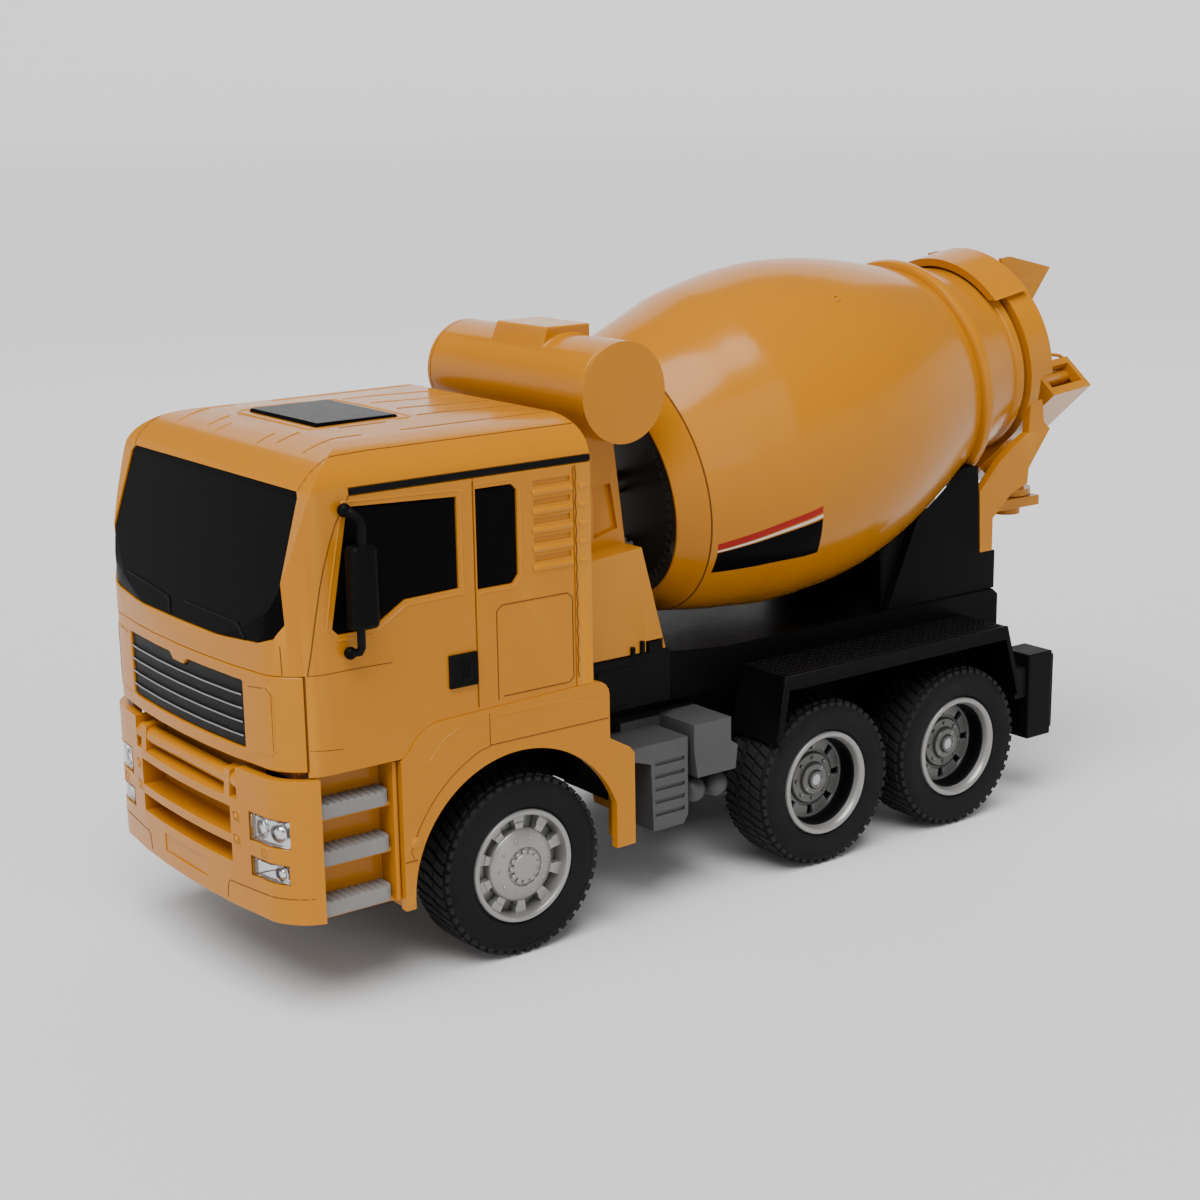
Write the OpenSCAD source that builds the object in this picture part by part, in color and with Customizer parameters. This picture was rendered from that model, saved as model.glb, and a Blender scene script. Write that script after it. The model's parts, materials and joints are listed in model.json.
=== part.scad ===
// Toy cement mixer truck at 1:20. Millimetres, +X forward, +Y to the truck's left, +Z up.
// The origin is on the ground, in the middle of the footprint.
// Inside the modules, X is measured from the front axle and placed() moves the piece to the origin.

/* [Stance] */
// Distance from the middle of the footprint to the front axle
front_axle_x = 109.97; // [109:0.01:111]
// Distance from the front axle back to the middle axle
mid_axle_back = 132; // [131:0.5:133]
// Distance from the front axle back to the rear axle
rear_axle_back = 199; // [198:0.5:200]
// Distance from the centre plane to the outer face of a wheel
wheel_outer_y = 60.2; // [60:0.1:61]

/* [Wheels] */
// Radius of a tyre, which is also the height of every axle
tyre_r = 30.5; // [30.3:0.1:30.7]
// Radius of the rim, where the tyre sits on it
rim_r = 19; // [18.5:0.1:19.5]
// Width of a front tyre
front_tyre_w = 21; // [20:0.5:21]
// Width of a rear tyre
rear_tyre_w = 23; // [22:0.5:23]

/* [Cab] */
// Half of the width of the cab
cab_half_w = 62.5; // [62:0.1:63]
// Height of the top of the roof
roof_top_z = 175; // [174:0.5:175]
// Height of the black strip where the roof meets the body
gutter_z = 161; // [160.5:0.1:161]
// Wall of the cab mouldings
cab_wall = 2.4; // [2.2:0.1:2.6]

/* [Water tank] */
// Radius of the water tank
tank_r = 16.9; // [16.5:0.1:17]
// Half of the length of the water tank
tank_half = 46.5; // [45:0.5:48]

/* [Drum] */
// Tilt of the drum, rising to the rear
drum_tilt = 9.9; // [9.8:0.1:10]
// Wall of the drum mouldings
drum_wall = 1.8; // [1.6:0.1:2]
// Module of the teeth that turn the drum
ring_module = 1.2; // [1.2:0.1:1.2]
// Teeth of the ring gear
ring_teeth = 60; // [60:1:60]
// Teeth of the drum pinion
drum_pinion_teeth = 12; // [12:1:12]

/* [Drive] */
// Module of the teeth that turn the rear axle
drive_module = 0.8; // [0.8:0.1:0.8]
// Teeth of the gear on the rear axle
axle_gear_teeth = 24; // [24:1:24]
// Teeth of the motor pinion
drive_pinion_teeth = 10; // [10:1:10]

/* [Chute] */
// Direction that the chute points at rest, turned from straight ahead
chute_yaw = 106; // [104:1:108]
// Slope of the chute above the horizontal
chute_pitch = 45; // [44:1:46]
// Half of the width of the chute
chute_half_w = 17; // [16:0.5:17]

/* [Fits] */
// Running clearance of a shaft in its hole, on the radius
run_fit = 0.06; // [0.04:0.01:0.08]
// Gap between mouldings that lie next to each other
part_gap = 0.3; // [0.2:0.05:0.35]

/* [Hidden] */
$fn = 96;

yellow = [0.86, 0.56, 0.12];
black = [0.05, 0.05, 0.055];
dark_grey = [0.2, 0.2, 0.21];
mid_grey = [0.42, 0.42, 0.43];
silver = [0.7, 0.7, 0.72];
steel = [0.6, 0.6, 0.62];
rubber = [0.03, 0.03, 0.03];
lens = [0.9, 0.92, 0.95];

axle_z = tyre_r;
mid_x = -mid_axle_back;
rear_x = -rear_axle_back;
eps = 0.01;

// ---------- shared shapes ----------

// Moves a piece from the front-axle frame to the origin of the part
module placed() {
    translate([front_axle_x, 0, 0]) children();
}

// Box between two corners
module block(low, high) {
    translate(low) cube(high - low);
}

// Plate with an outline of [x, z] points, between two values of y
module side_plate(points, y0, y1) {
    translate([0, y1, 0]) rotate([90, 0, 0]) linear_extrude(y1 - y0) polygon(points);
}

// Plate with an outline of [y, z] points, between two values of x
module front_plate(points, x0, x1) {
    translate([x0, 0, 0]) rotate([90, 0, 90]) linear_extrude(x1 - x0) polygon(points);
}

// Plate with an outline of [x, y] points, between two heights
module plan_plate(points, z0, z1) {
    translate([0, 0, z0]) linear_extrude(z1 - z0) polygon(points);
}

// Rod along Y between two values of y
module cross_rod(x, z, y0, y1, r) {
    translate([x, y0, z]) rotate([-90, 0, 0]) cylinder(h = y1 - y0, r = r);
}

// Rod along Z between two heights
module post(x, y, z0, z1, r) {
    translate([x, y, z0]) cylinder(h = z1 - z0, r = r);
}

// The same piece on the left and on the right
module both_sides() {
    children();
    mirror([0, 1, 0]) children();
}

// Points of a circular arc
function arc(cx, cy, r, a0, a1, steps = 8) =
    [for (i = [0:steps]) let (a = a0 + (a1 - a0) * i / steps) [cx + r * cos(a), cy + r * sin(a)]];

// Outline reflected to negative first coordinates, to close a symmetric shape
function reflected(points) =
    [for (i = [len(points) - 1:-1:0]) [-points[i][0], points[i][1]]];

// Spur gear outline with straight-sided teeth, one tooth centred on angle 0
function gear_outline(teeth, m) =
    [for (i = [0:teeth - 1]) let (r_root = m * (teeth / 2 - 1.25), r_tip = m * (teeth / 2 + 0.9))
        for (p = [[-0.34, r_root], [-0.13, r_tip], [0.13, r_tip], [0.34, r_root]])
            [p[1] * cos(360 * (i + p[0]) / teeth), p[1] * sin(360 * (i + p[0]) / teeth)]];

// Internal gear outline, one gap centred on angle 0
function ring_outline(teeth, m) =
    [for (i = [0:teeth - 1]) let (r_tip = m * (teeth / 2 - 0.9), r_root = m * (teeth / 2 + 1.25))
        for (p = [[-0.37, r_tip], [-0.16, r_root], [0.16, r_root], [0.37, r_tip]])
            [p[1] * cos(360 * (i + p[0]) / teeth), p[1] * sin(360 * (i + p[0]) / teeth)]];

// ---------- wheels ----------

// Tyre between two values of y, with a square shoulder and three grooves round the tread
module tyre(x, y0, y1) {
    w = y1 - y0;
    chamfer = 3;
    translate([x, y0, axle_z]) rotate([-90, 0, 0]) difference() {
        rotate_extrude() polygon([[rim_r, 1.5], [22, 0.4], [26, 0], [tyre_r - chamfer, 1],
            [tyre_r, chamfer + 1], [tyre_r, w - chamfer - 1], [tyre_r - chamfer, w - 1], [26, w],
            [22, w - 0.4], [rim_r, w - 1.5]]);
        for (groove = [0.3, 0.5, 0.7])
            translate([0, 0, groove * w - 0.6]) difference() {
                cylinder(h = 1.2, r = tyre_r + 1);
                translate([0, 0, -1]) cylinder(h = 4, r = tyre_r - 1.2);
            }
    }
}

// Rim of a front wheel on the left, with a domed hub and ten windows
module front_rim() {
    windows = 10;
    outer = wheel_outer_y;
    hub_bore = 2.5 + run_fit;
    difference() {
        translate([0, 0, axle_z]) rotate([-90, 0, 0]) rotate_extrude()
            polygon([[hub_bore, 42], [6, 42], [6, 52.5], [16.4, 52.5], [16.4, outer - front_tyre_w + 1.5],
                [rim_r, outer - front_tyre_w + 1.5], [rim_r, outer - 1.5], [18.6, outer - 0.4],
                [16.8, outer - 0.4], [15.6, outer - 2.6], [13, outer - 1.6], [10.4, outer - 0.5],
                [6.5, outer + 0.9], [6.5, outer + 1.6], [0, outer + 1.9], [0, 58], [hub_bore, 58]]);
        for (i = [0:windows - 1])
            translate([0, 0, axle_z]) rotate([0, i * 360 / windows + 18, 0])
                block([12.3, 50, -1.4], [14.7, 63, 1.4]);
    }
}

// Deep rim of a rear wheel on the left, with eight oblong holes
module rear_rim(x) {
    holes = 8;
    outer = wheel_outer_y;
    difference() {
        translate([x, 0, axle_z]) rotate([-90, 0, 0]) rotate_extrude()
            polygon([[2, 46], [16.6, 46], [16.6, outer - rear_tyre_w + 1.5],
                [rim_r, outer - rear_tyre_w + 1.5], [rim_r, outer - 1.5], [18.4, outer - 0.4],
                [17, outer - 0.4], [15.6, 50.5], [9.5, 49],
                [7.5, 49], [6.4, 52.5], [3.4, 52.5], [3.4, 54.5], [2, 54.5]]);
        for (i = [0:holes - 1])
            translate([x, 0, axle_z]) rotate([0, i * 360 / holes, 0])
                block([10.4, 44, -1.7], [14.6, 53, 1.7]);
    }
}

module front_tyre_left() {
    color(rubber) placed() tyre(0, wheel_outer_y - front_tyre_w, wheel_outer_y);
}

module front_tyre_right() {
    color(rubber) placed() mirror([0, 1, 0]) tyre(0, wheel_outer_y - front_tyre_w, wheel_outer_y);
}

module front_rim_left() {
    color(silver) placed() front_rim();
}

module front_rim_right() {
    color(silver) placed() mirror([0, 1, 0]) front_rim();
}

module mid_tyres() {
    color(rubber) placed() both_sides() tyre(mid_x, wheel_outer_y - rear_tyre_w, wheel_outer_y);
}

module rear_tyres() {
    color(rubber) placed() both_sides() tyre(rear_x, wheel_outer_y - rear_tyre_w, wheel_outer_y);
}

module mid_rims() {
    color(silver) placed() both_sides() rear_rim(mid_x);
}

module rear_rims() {
    color(silver) placed() both_sides() rear_rim(rear_x);
}

module mid_axle_shaft() {
    color(steel) placed() cross_rod(mid_x, axle_z, -54.5, 54.5, 2);
}

module rear_axle_shaft() {
    color(steel) placed() cross_rod(rear_x, axle_z, -54.5, 54.5, 2);
}

// ---------- steering ----------

kingpin_y = 31;
steer_arm = 15;
steer_pin_r = 1.4;
knuckle_low = 21;
knuckle_high = 40;

// Steering knuckle on the left: block, stub axle and steering arm with its pin
module knuckle() {
    difference() {
        union() {
            block([-4.5, kingpin_y - 4, knuckle_low], [4.5, kingpin_y + 4.5, knuckle_high]);
            cross_rod(0, axle_z, kingpin_y + 4, 57.5, 2.5);
            cross_rod(0, axle_z, kingpin_y + 4, 41.5, 5);
            block([-steer_arm - 2.5, kingpin_y - 2.5, 33], [-4, kingpin_y + 2.5, 36]);
            post(-steer_arm, kingpin_y, 35, 41.5, steer_pin_r);
        }
        post(0, kingpin_y, knuckle_low - 1, knuckle_high + 1, 2 + run_fit);
    }
}

module knuckle_left() {
    color(black) placed() knuckle();
}

module knuckle_right() {
    color(black) placed() mirror([0, 1, 0]) knuckle();
}

module kingpins() {
    color(steel) placed() both_sides() post(0, kingpin_y, 16, 45, 2);
}

// Bar that joins the two steering arms, with a slot for each pin
module tie_rod() {
    slot_half_x = 2.9;
    slot_half_y = steer_pin_r + 0.35;
    color(black) placed() difference() {
        block([-19.5, -35.5, 36.8], [-11, 35.5, 40.3]);
        for (y = [-kingpin_y, 0, kingpin_y])
            translate([-steer_arm, y, 36])
                block([-slot_half_x, -slot_half_y, 0], [slot_half_x + 0.4, slot_half_y, 5]);
    }
}

// Motor and gearbox that steer the front wheels
module steering_servo() {
    color(dark_grey) placed() difference() {
        union() {
            block([-35.3, -9, 48.6], [-12, 9, 61]);
            post(-30, 0, 45, 49, 3);
        }
        post(-30, 0, 43, 55, 1.5 + run_fit);
    }
}

// Output lever of the steering servo
module servo_arm() {
    color(silver) placed() {
        post(-30, 0, 41.2, 54, 1.5);
        block([-33, -3, 41.2], [-12.5, 3, 43.6]);
        post(-steer_arm, 0, 37.2, 41.5, steer_pin_r);
    }
}

// ---------- chassis ----------

tray_low = 44;
tray_high = 70;
tray_half_w = 30;
tray_wall = 2.4;
cover_x0 = -98;
cover_x1 = -42;
cover_half_w = 25;
cover_screw_x = -50;
screw_x = [-108, -154];
screw_y = 24;
screw_r = 1.3;
switch_x = -156;
switch_travel = 4;

// Main tray of the chassis, open at the top, with the battery opening in its floor
module chassis_tray() {
    color(black) placed() difference() {
        union() {
            difference() {
                block([-238, -tray_half_w, tray_low], [-38, tray_half_w, tray_high]);
                block([-238 + tray_wall, -tray_half_w + tray_wall, tray_low + tray_wall],
                    [-38 - tray_wall, tray_half_w - tray_wall, tray_high + 1]);
            }
            block([-244, -52, 40], [-238, 52, 52]);
            for (x = screw_x, y = [-screw_y, screw_y])
                post(x, y, tray_low + 1, tray_low + 8, 3);
        }
        block([cover_x0, -cover_half_w, tray_low - 1], [cover_x1, cover_half_w, tray_low + tray_wall + 1]);
        for (x = screw_x, y = [-screw_y, screw_y])
            post(x, y, tray_low - 1, tray_low + 6.5, screw_r + 0.05);
        translate([switch_x, 0, tray_low - 1])
            block([-2.3, -5.3, 0], [2.3, switch_travel - 0.6, tray_wall + 2]);
    }
}

// Cover of the battery box, held by one screw
module battery_cover() {
    color(black) placed() difference() {
        block([cover_x0 + part_gap, -cover_half_w + part_gap, tray_low],
            [cover_x1 - part_gap, cover_half_w - part_gap, tray_low + tray_wall]);
        post(cover_screw_x, 0, tray_low - 1, tray_low + 4, 1.6);
        post(cover_screw_x, 0, tray_low - 1, tray_low + 1.4, 3);
        for (x = [-62, -70, -78])
            block([x - 1, -14, tray_low - 1], [x + 1, 14, tray_low + 0.8]);
    }
}

// Screws that hold the tray, and the screw of the battery cover
module chassis_screws() {
    color(steel) placed() {
        for (x = screw_x, y = [-screw_y, screw_y]) {
            post(x, y, tray_low - 1.4, tray_low, 2.6);
            post(x, y, tray_low - 0.1, tray_low + 6, screw_r);
        }
        post(cover_screw_x, 0, tray_low + 0.1, tray_low + 1.4, 2.8);
        post(cover_screw_x, 0, tray_low + 1.3, tray_low + tray_wall, 1.5);
    }
}

// Slide switch in the floor of the tray, drawn switched off
module power_switch() {
    color(black) placed() {
        block([switch_x - 2, -5, tray_low - 1.6], [switch_x + 2, -1, tray_low + tray_wall + 0.4]);
        translate([switch_x, 0, tray_low + tray_wall + 0.2])
            block([-4.5, -7, 0], [4.5, 1, 2]);
    }
}

// Four round cells that lie across the truck
module battery_cells() {
    cell_r = 6.9;
    color(dark_grey) placed() for (i = [0:3]) {
        cross_rod(-49 - 14.4 * i, tray_low + tray_wall + 8, -24.5, 24.5, cell_r);
        cross_rod(-49 - 14.4 * i, tray_low + tray_wall + 8, 24.5, 26, 2.5);
    }
}

// Receiver board with its chips and motor sockets
module circuit_board() {
    board_z = 52;
    color([0.1, 0.35, 0.2]) placed() {
        block([-158, -20, board_z], [-112, 20, board_z + 1.6]);
        block([-150, -14, board_z + 1.6], [-140, -4, board_z + 4]);
        block([-132, 2, board_z + 1.6], [-122, 8, board_z + 4]);
        for (y = [-14, -4, 6])
            block([-118, y, board_z + 1.6], [-113, y + 7, board_z + 7]);
        for (x = [-152, -118], y = [-15, 15])
            post(x, y, tray_low + tray_wall, board_z, 2.5);
    }
}

// Frame under the cab: floor, beam with the kingpin arms and front bumper mounts
module front_subframe() {
    color(black) placed() difference() {
        union() {
            block([-38, -24, 44], [64, 24, 47.2]);
            block([-38, -24, 44], [-35.6, 24, 66]);
            both_sides() block([-38, 21.6, 44], [64, 24, 60]);
            both_sides() block([-7, 20, 40.3], [7, 36, 45]);
            both_sides() block([-7, 20, 16], [7, 36, 20.7]);
            both_sides() block([-7, 20, 16], [7, 24.6, 45]);
            block([-7, -20, 16], [7, 20, 20.7]);
            block([61, -50, 44], [64, 50, 60]);
        }
        block([-60, -10, 43], [-10, 10, 48.5]);
        both_sides() post(0, kingpin_y, 15, 46, 2);
    }
}

// Bearing blocks under the tray that carry the middle axle
module mid_axle_carrier() {
    color(black) placed() difference() {
        union() {
            block([mid_x - 13, -28, 40], [mid_x + 13, 28, tray_low]);
            both_sides() block([mid_x - 8, 22, 23], [mid_x + 8, 28, 41]);
            block([mid_x - 8, -28, 23], [mid_x + 8, 28, 26]);
        }
        cross_rod(mid_x, axle_z, -30, 30, 2 + run_fit);
    }
}

gear_y = 6;
gear_w = 4;
pinion_gap = drive_module * (axle_gear_teeth + drive_pinion_teeth) / 2;
pinion_x = rear_x + pinion_gap;

// Gearbox round the rear axle, closed by the tray above it
module rear_gearbox() {
    color(black) placed() difference() {
        block([rear_x - 15, -28, 17], [rear_x + 36, 28, tray_low]);
        block([rear_x - 12.5, gear_y - 1.5, 19], [rear_x + 33.5, gear_y + gear_w + 1.5, tray_low + 1]);
        block([rear_x + 5, -22, 19], [rear_x + 33.5, gear_y, tray_low + 1]);
        cross_rod(rear_x, axle_z, -30, 30, 2 + run_fit);
        cross_rod(pinion_x, axle_z, gear_y + gear_w, gear_y + gear_w + 4, 1 + run_fit);
    }
}

module rear_axle_gear() {
    color("white") placed() translate([rear_x, gear_y + gear_w, axle_z]) rotate([90, 0, 0]) difference() {
        linear_extrude(gear_w) polygon(gear_outline(axle_gear_teeth, drive_module));
        translate([0, 0, -1]) cylinder(h = gear_w + 2, r = 2);
    }
}

// Motor pinion and its shaft; a gap faces the axle gear
module drive_pinion() {
    half_tooth = 180 / drive_pinion_teeth;
    color("white") placed() {
        translate([pinion_x, gear_y + gear_w, axle_z]) rotate([90, 0, 0]) rotate([0, 0, half_tooth + 180])
            linear_extrude(gear_w) polygon(gear_outline(drive_pinion_teeth, drive_module));
        cross_rod(pinion_x, axle_z, gear_y - 14, gear_y + eps, 1);
        cross_rod(pinion_x, axle_z, gear_y + gear_w - eps, gear_y + gear_w + 3.5, 1);
    }
}

module drive_motor() {
    color(silver) placed() difference() {
        intersection() {
            cross_rod(pinion_x, axle_z, -20, 3.5, 10);
            block([pinion_x - 7.8, -21, 19.4], [pinion_x + 7.8, 4, 43]);
        }
        cross_rod(pinion_x, axle_z, -10, 5, 1 + run_fit);
    }
}

// Grey boxes and air tanks between the axles on both sides
module side_boxes() {
    color(mid_grey) placed() both_sides() {
        difference() {
            side_plate([[-57, 28], [-70, 28], [-72, 31], [-72, 59], [-44, 59], [-44, 56], [-56, 52]], 36, 55);
            for (z = [33:4.5:51])
                block([-70.5, 54.2, z], [-57.8, 56, z + 1.4]);
        }
        side_plate([[-75.5, 43.5], [-92.5, 43.5], [-93.5, 52], [-90.5, 54], [-90.5, 62.6], [-74, 62.6],
            [-74, 54]], 36, 56);
        for (x = [-79, -89])
            translate([x, 0, 37]) rotate([-90, 0, 0]) {
                translate([0, 0, 33]) cylinder(h = 16, r = 4.4);
                translate([0, 0, 49]) sphere(r = 4.4);
            }
        block([-92, 30, 56], [-57, 37, 62]);
        block([-90, 33, 36], [-78, 37, 57]);
    }
}

// ---------- deck, fenders and tail ----------

deck_top = 81.5;

// Black deck under the drum, with a raised block under the front pedestal
module rear_deck() {
    color(black) placed() difference() {
        union() {
            side_plate([[-38, 66], [-38, 86.5], [-76, 86.5], [-78, 84], [-104, deck_top], [-240, deck_top],
                [-243, deck_top - 2.5], [-243, 66]], -37, 37);
            both_sides() block([-76, 36, 68], [-38, 41, 86.5]);
        }
        side_plate([[-40.5, 60], [-40.5, 84], [-74.6, 84], [-100, deck_top - 3], [-240.5, deck_top - 3],
            [-240.5, 60]], -34.5, 34.5);
        block([-239, -tray_half_w - part_gap, 60], [-37, tray_half_w + part_gap, tray_high]);
    }
}

// Tread-plate fenders over the rear wheels
module rear_fenders() {
    outer = 62;
    inner = 37.2;
    color(black) placed() both_sides() {
        side_plate([[-106.6, 50], [-111, 74], [-222, 74], [-230.5, 46], [-228.3, 46], [-220.4, 72], [-112.8, 72],
            [-109, 51]], inner, outer);
        side_plate([[-111, 74], [-222, 74], [-223, 69], [-110, 69]], outer - 1.6, outer);
        side_plate([[-111, 74], [-222, 74], [-222, 66], [-111, 66]], inner, inner + 1.6);
    }
}

// Rear lamp blocks at both ends of the rear beam
module tail_lamps() {
    color(dark_grey) placed() both_sides() difference() {
        union() {
            block([-257, 39, 23], [-244, 53.5, 57]);
            block([-259.5, 40.5, 25], [-256.9, 52, 55]);
        }
        for (z = [30, 39, 48])
            block([-261, 42, z - 0.6], [-258.6, 50.5, z + 0.6]);
    }
}

// ---------- cab ----------

front_x = 87;
seam_z = 108.4;
cab_low = 77;
cab_rear = -27;
corner_r = 16;

// Half of the plan outline of the cab's front, from the centre to the side
function cab_plan(grow = 0) = concat(
    [for (p = [[1.6, 0], [1.3, 16], [0.3, 32], [-1.2, 44]]) [front_x + grow + p[0], p[1]]],
    arc(front_x - corner_r - 1.4, cab_half_w - corner_r, corner_r + grow, 14, 90, 7),
    [[cab_rear - grow, cab_half_w + grow]]);

// Solid with the cab's plan outline between two heights
module cab_prism(grow, z0, z1) {
    half = cab_plan(grow);
    full = concat(half, [for (i = [len(half) - 1:-1:1]) [half[i][0], -half[i][1]]]);
    plan_plate(full, z0, z1);
}

// Points of a smooth curve through a corner: from a to b, bent towards the corner c
function bend(a, c, b, steps = 7) =
    [for (i = [0:steps]) let (t = i / steps) (1 - t) * (1 - t) * a + 2 * t * (1 - t) * c + t * t * b];

// Side outline of the cab above the lower seam: the windscreen leans back
function cab_side(inset = 0) = concat(
    [[cab_rear + inset, cab_low + inset], [120, cab_low + inset], [120, 100], [front_x + 3 - inset, 108]],
    [[front_x - 1 - inset, 122]],
    bend([74.2 - inset, 160], [70.6 - inset, 171.6 - inset], [50, roof_top_z - 0.5 - inset], 9),
    [[10, roof_top_z - inset], [cab_rear + inset, roof_top_z - 1 - inset]]);

// Front outline of the roof: crowned, with round edges
function roof_front(inset = 0) = concat(
    [[0, cab_low - 5], [cab_half_w - inset, cab_low - 5], [cab_half_w - inset, gutter_z]],
    bend([cab_half_w - 0.4 - inset, 163.4], [cab_half_w - 2.2 - inset, 172 - inset], [44, 173.9 - inset], 9),
    [[22, 174.8 - inset], [0, roof_top_z - inset]]);

// Outer or inner shape of the whole cab
module cab_form(inset) {
    full = concat(roof_front(inset), reflected(roof_front(inset)));
    intersection() {
        cab_prism(-inset, cab_low, roof_top_z + 1);
        side_plate(cab_side(inset), -70, 70);
        front_plate(full, -60, 120);
    }
}

// Outline of a front fender from the side
function fender_outline() = concat([[46.6, 27.7], [46.6, 76.2]], arc(30.2, 71.6, 15, 30, 84, 6),
    [[-27, 88]], arc(-28, 83, 5, 90, 180, 4), [[-33, 68], [-41, 63.5], [-43, 61], [-43, 29.5]]);

// Outline of the door window, as [x, z]
door_window = [[23.4, 155.6], [23.4, 127], [42.7, 126.5], [54.6, 119.4], [66, 119.4], [68.1, 121.5],
    [61.4, 157.4]];
// Outline of the quarter window, as [x, z]
quarter_window = [[16.6, 157], [16.6, 125.5], [3.4, 125.5], [1.2, 128], [1.2, 155], [3.2, 157]];
// Outline of the windscreen, as [y, z]
screen = [[0, 162.3], [54.5, 162.3], [56, 160.5], [57.6, 124], [54.5, 119.5], [48, 117.4], [25, 116],
    [0, 115.8]];

// Middle part of the cab: sides, pillars and rear wall
module cab_body() {
    color(yellow) placed() difference() {
        cab_form(0);
        cab_form(cab_wall);
        block([-60, -80, gutter_z + 3.2], [120, 80, 200]);
        block([cab_rear + cab_wall, -cab_half_w + cab_wall, 60], [60, cab_half_w - cab_wall, 84]);
        block([60, -cab_half_w + cab_wall, 60], [72, cab_half_w - cab_wall, 84]);
        block([77, -80, 70], [120, 80, seam_z]);
        block([70, -60, 70], [80, 60, seam_z]);
        both_sides() side_plate(concat(fender_outline(), [[-60, 29.5], [-60, 20], [46.6, 20]]), 40, 70);
        block([-60, -80, 70], [-26.9, 80, 88.2]);
        both_sides() side_plate(door_window, 55, 70);
        both_sides() side_plate(quarter_window, 55, 70);
        both_sides() block([-27.5, cab_half_w - 0.7, gutter_z - 0.6], [60.6, 70, gutter_z + 2]);
        front_plate(concat(screen, reflected(screen)), 60, 120);
        both_sides() {
            block([17.1, cab_half_w - 0.5, 88], [17.7, 70, gutter_z - 1.5]);
            block([-20.6, cab_half_w - 0.5, 88], [-20, 70, gutter_z - 1.5]);
        }
        for (z = [132:6:156])
            both_sides() block([-19, cab_half_w - 0.6, z - 0.9], [-5, 70, z + 0.9]);
    }
}

// Lower front panel of the cab, with the grille opening
module cab_front_panel() {
    half = [[38.8, 83], [38.8, 104.3], [6, 104.3], [3.5, 102.2]];
    grille_hole = concat(half, reflected(half));
    color(yellow) placed() difference() {
        cab_prism(0, 78.6, seam_z - 0.2);
        cab_prism(-2.6, 76, seam_z + 1);
        block([-80, -80, 70], [77.2, 80, seam_z + 1]);
        front_plate(grille_hole, 60, 100);
    }
}

// Grille insert with its cross bars
module grille() {
    half = [[38.5, 83.3], [38.5, 104], [7, 104], [4.5, 102]];
    color(black) placed() {
        intersection() {
            difference() {
                cab_prism(-0.8, 83.3, 104);
                cab_prism(-2.6, 80, 110);
            }
            front_plate(concat(half, reflected(half)), 60, 100);
        }
        for (z = [86.5:4.3:100])
            intersection() {
                difference() {
                    cab_prism(-0.2, z - 0.5, z + 0.5);
                    cab_prism(-0.81, 80, 110);
                }
                block([60, -38.4, 80], [100, 38.4, 110]);
            }
    }
}

// Roof of the cab above the black strip
module cab_roof() {
    color(yellow) placed() difference() {
        cab_form(0);
        cab_form(cab_wall);
        block([-60, -80, 60], [120, 80, gutter_z + 3.2]);
        block([17.8, -22.4, 174], [48, 22.4, 180]);
    }
}

// Dark windscreen panel with two moulded wipers
module windshield() {
    full = concat(screen, reflected(screen));
    color(black) placed() difference() {
        intersection() {
            cab_form(0.5);
            front_plate([for (p = full) [p[0] * 0.994, 139 + (p[1] - 139) * 0.988]], 60, 120);
        }
        cab_form(cab_wall);
    }
}

// Dark panels of the door windows and quarter windows
module side_windows() {
    color(black) placed() both_sides() {
        side_plate([for (p = door_window) [44 + (p[0] - 44) * 0.99, 138 + (p[1] - 138) * 0.985]],
            cab_half_w - cab_wall, cab_half_w - 0.5);
        side_plate([for (p = quarter_window) [9 + (p[0] - 9) * 0.97, 141 + (p[1] - 141) * 0.985]],
            cab_half_w - cab_wall, cab_half_w - 0.5);
    }
}

// Black strips under the roof and black door handles
module side_trim() {
    color(black) placed() both_sides() {
        block([-27, cab_half_w - 0.7, gutter_z - 0.3], [60.3, cab_half_w + 0.2, gutter_z + 1.7]);
        difference() {
            block([17.9, cab_half_w, 95.9], [28.2, cab_half_w + 1.1, 106.5]);
            block([20, cab_half_w + 0.5, 98], [24, cab_half_w + 2, 104]);
        }
    }
}

module roof_hatch() {
    color(dark_grey) placed() {
        block([18.2, -22, 174], [47.6, 22, 175.6]);
    }
}

// Mirrors on their bent arms
module mirrors() {
    color(black) placed() both_sides() {
        translate([63.5, 64.9, 157]) sphere(r = 2.2);
        hull() {
            translate([63.5, 65, 157]) sphere(r = 1.5, $fn = 24);
            translate([60, 68, 153]) sphere(r = 1.5, $fn = 24);
        }
        post(60, 68, 144, 153, 1.5);
        block([56, 64.6, 121.5], [65.4, 71.4, 147]);
        post(61.5, 68, 114.8, 122, 1.3);
        hull() {
            translate([61.5, 68, 115]) sphere(r = 1.3, $fn = 24);
            translate([63.5, 65, 114]) sphere(r = 1.3, $fn = 24);
        }
        translate([63.5, 64.8, 114]) sphere(r = 2);
    }
}

// ---------- front bumper, steps and fenders ----------

bumper_low = 31;
bumper_high = 76.4;

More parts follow.
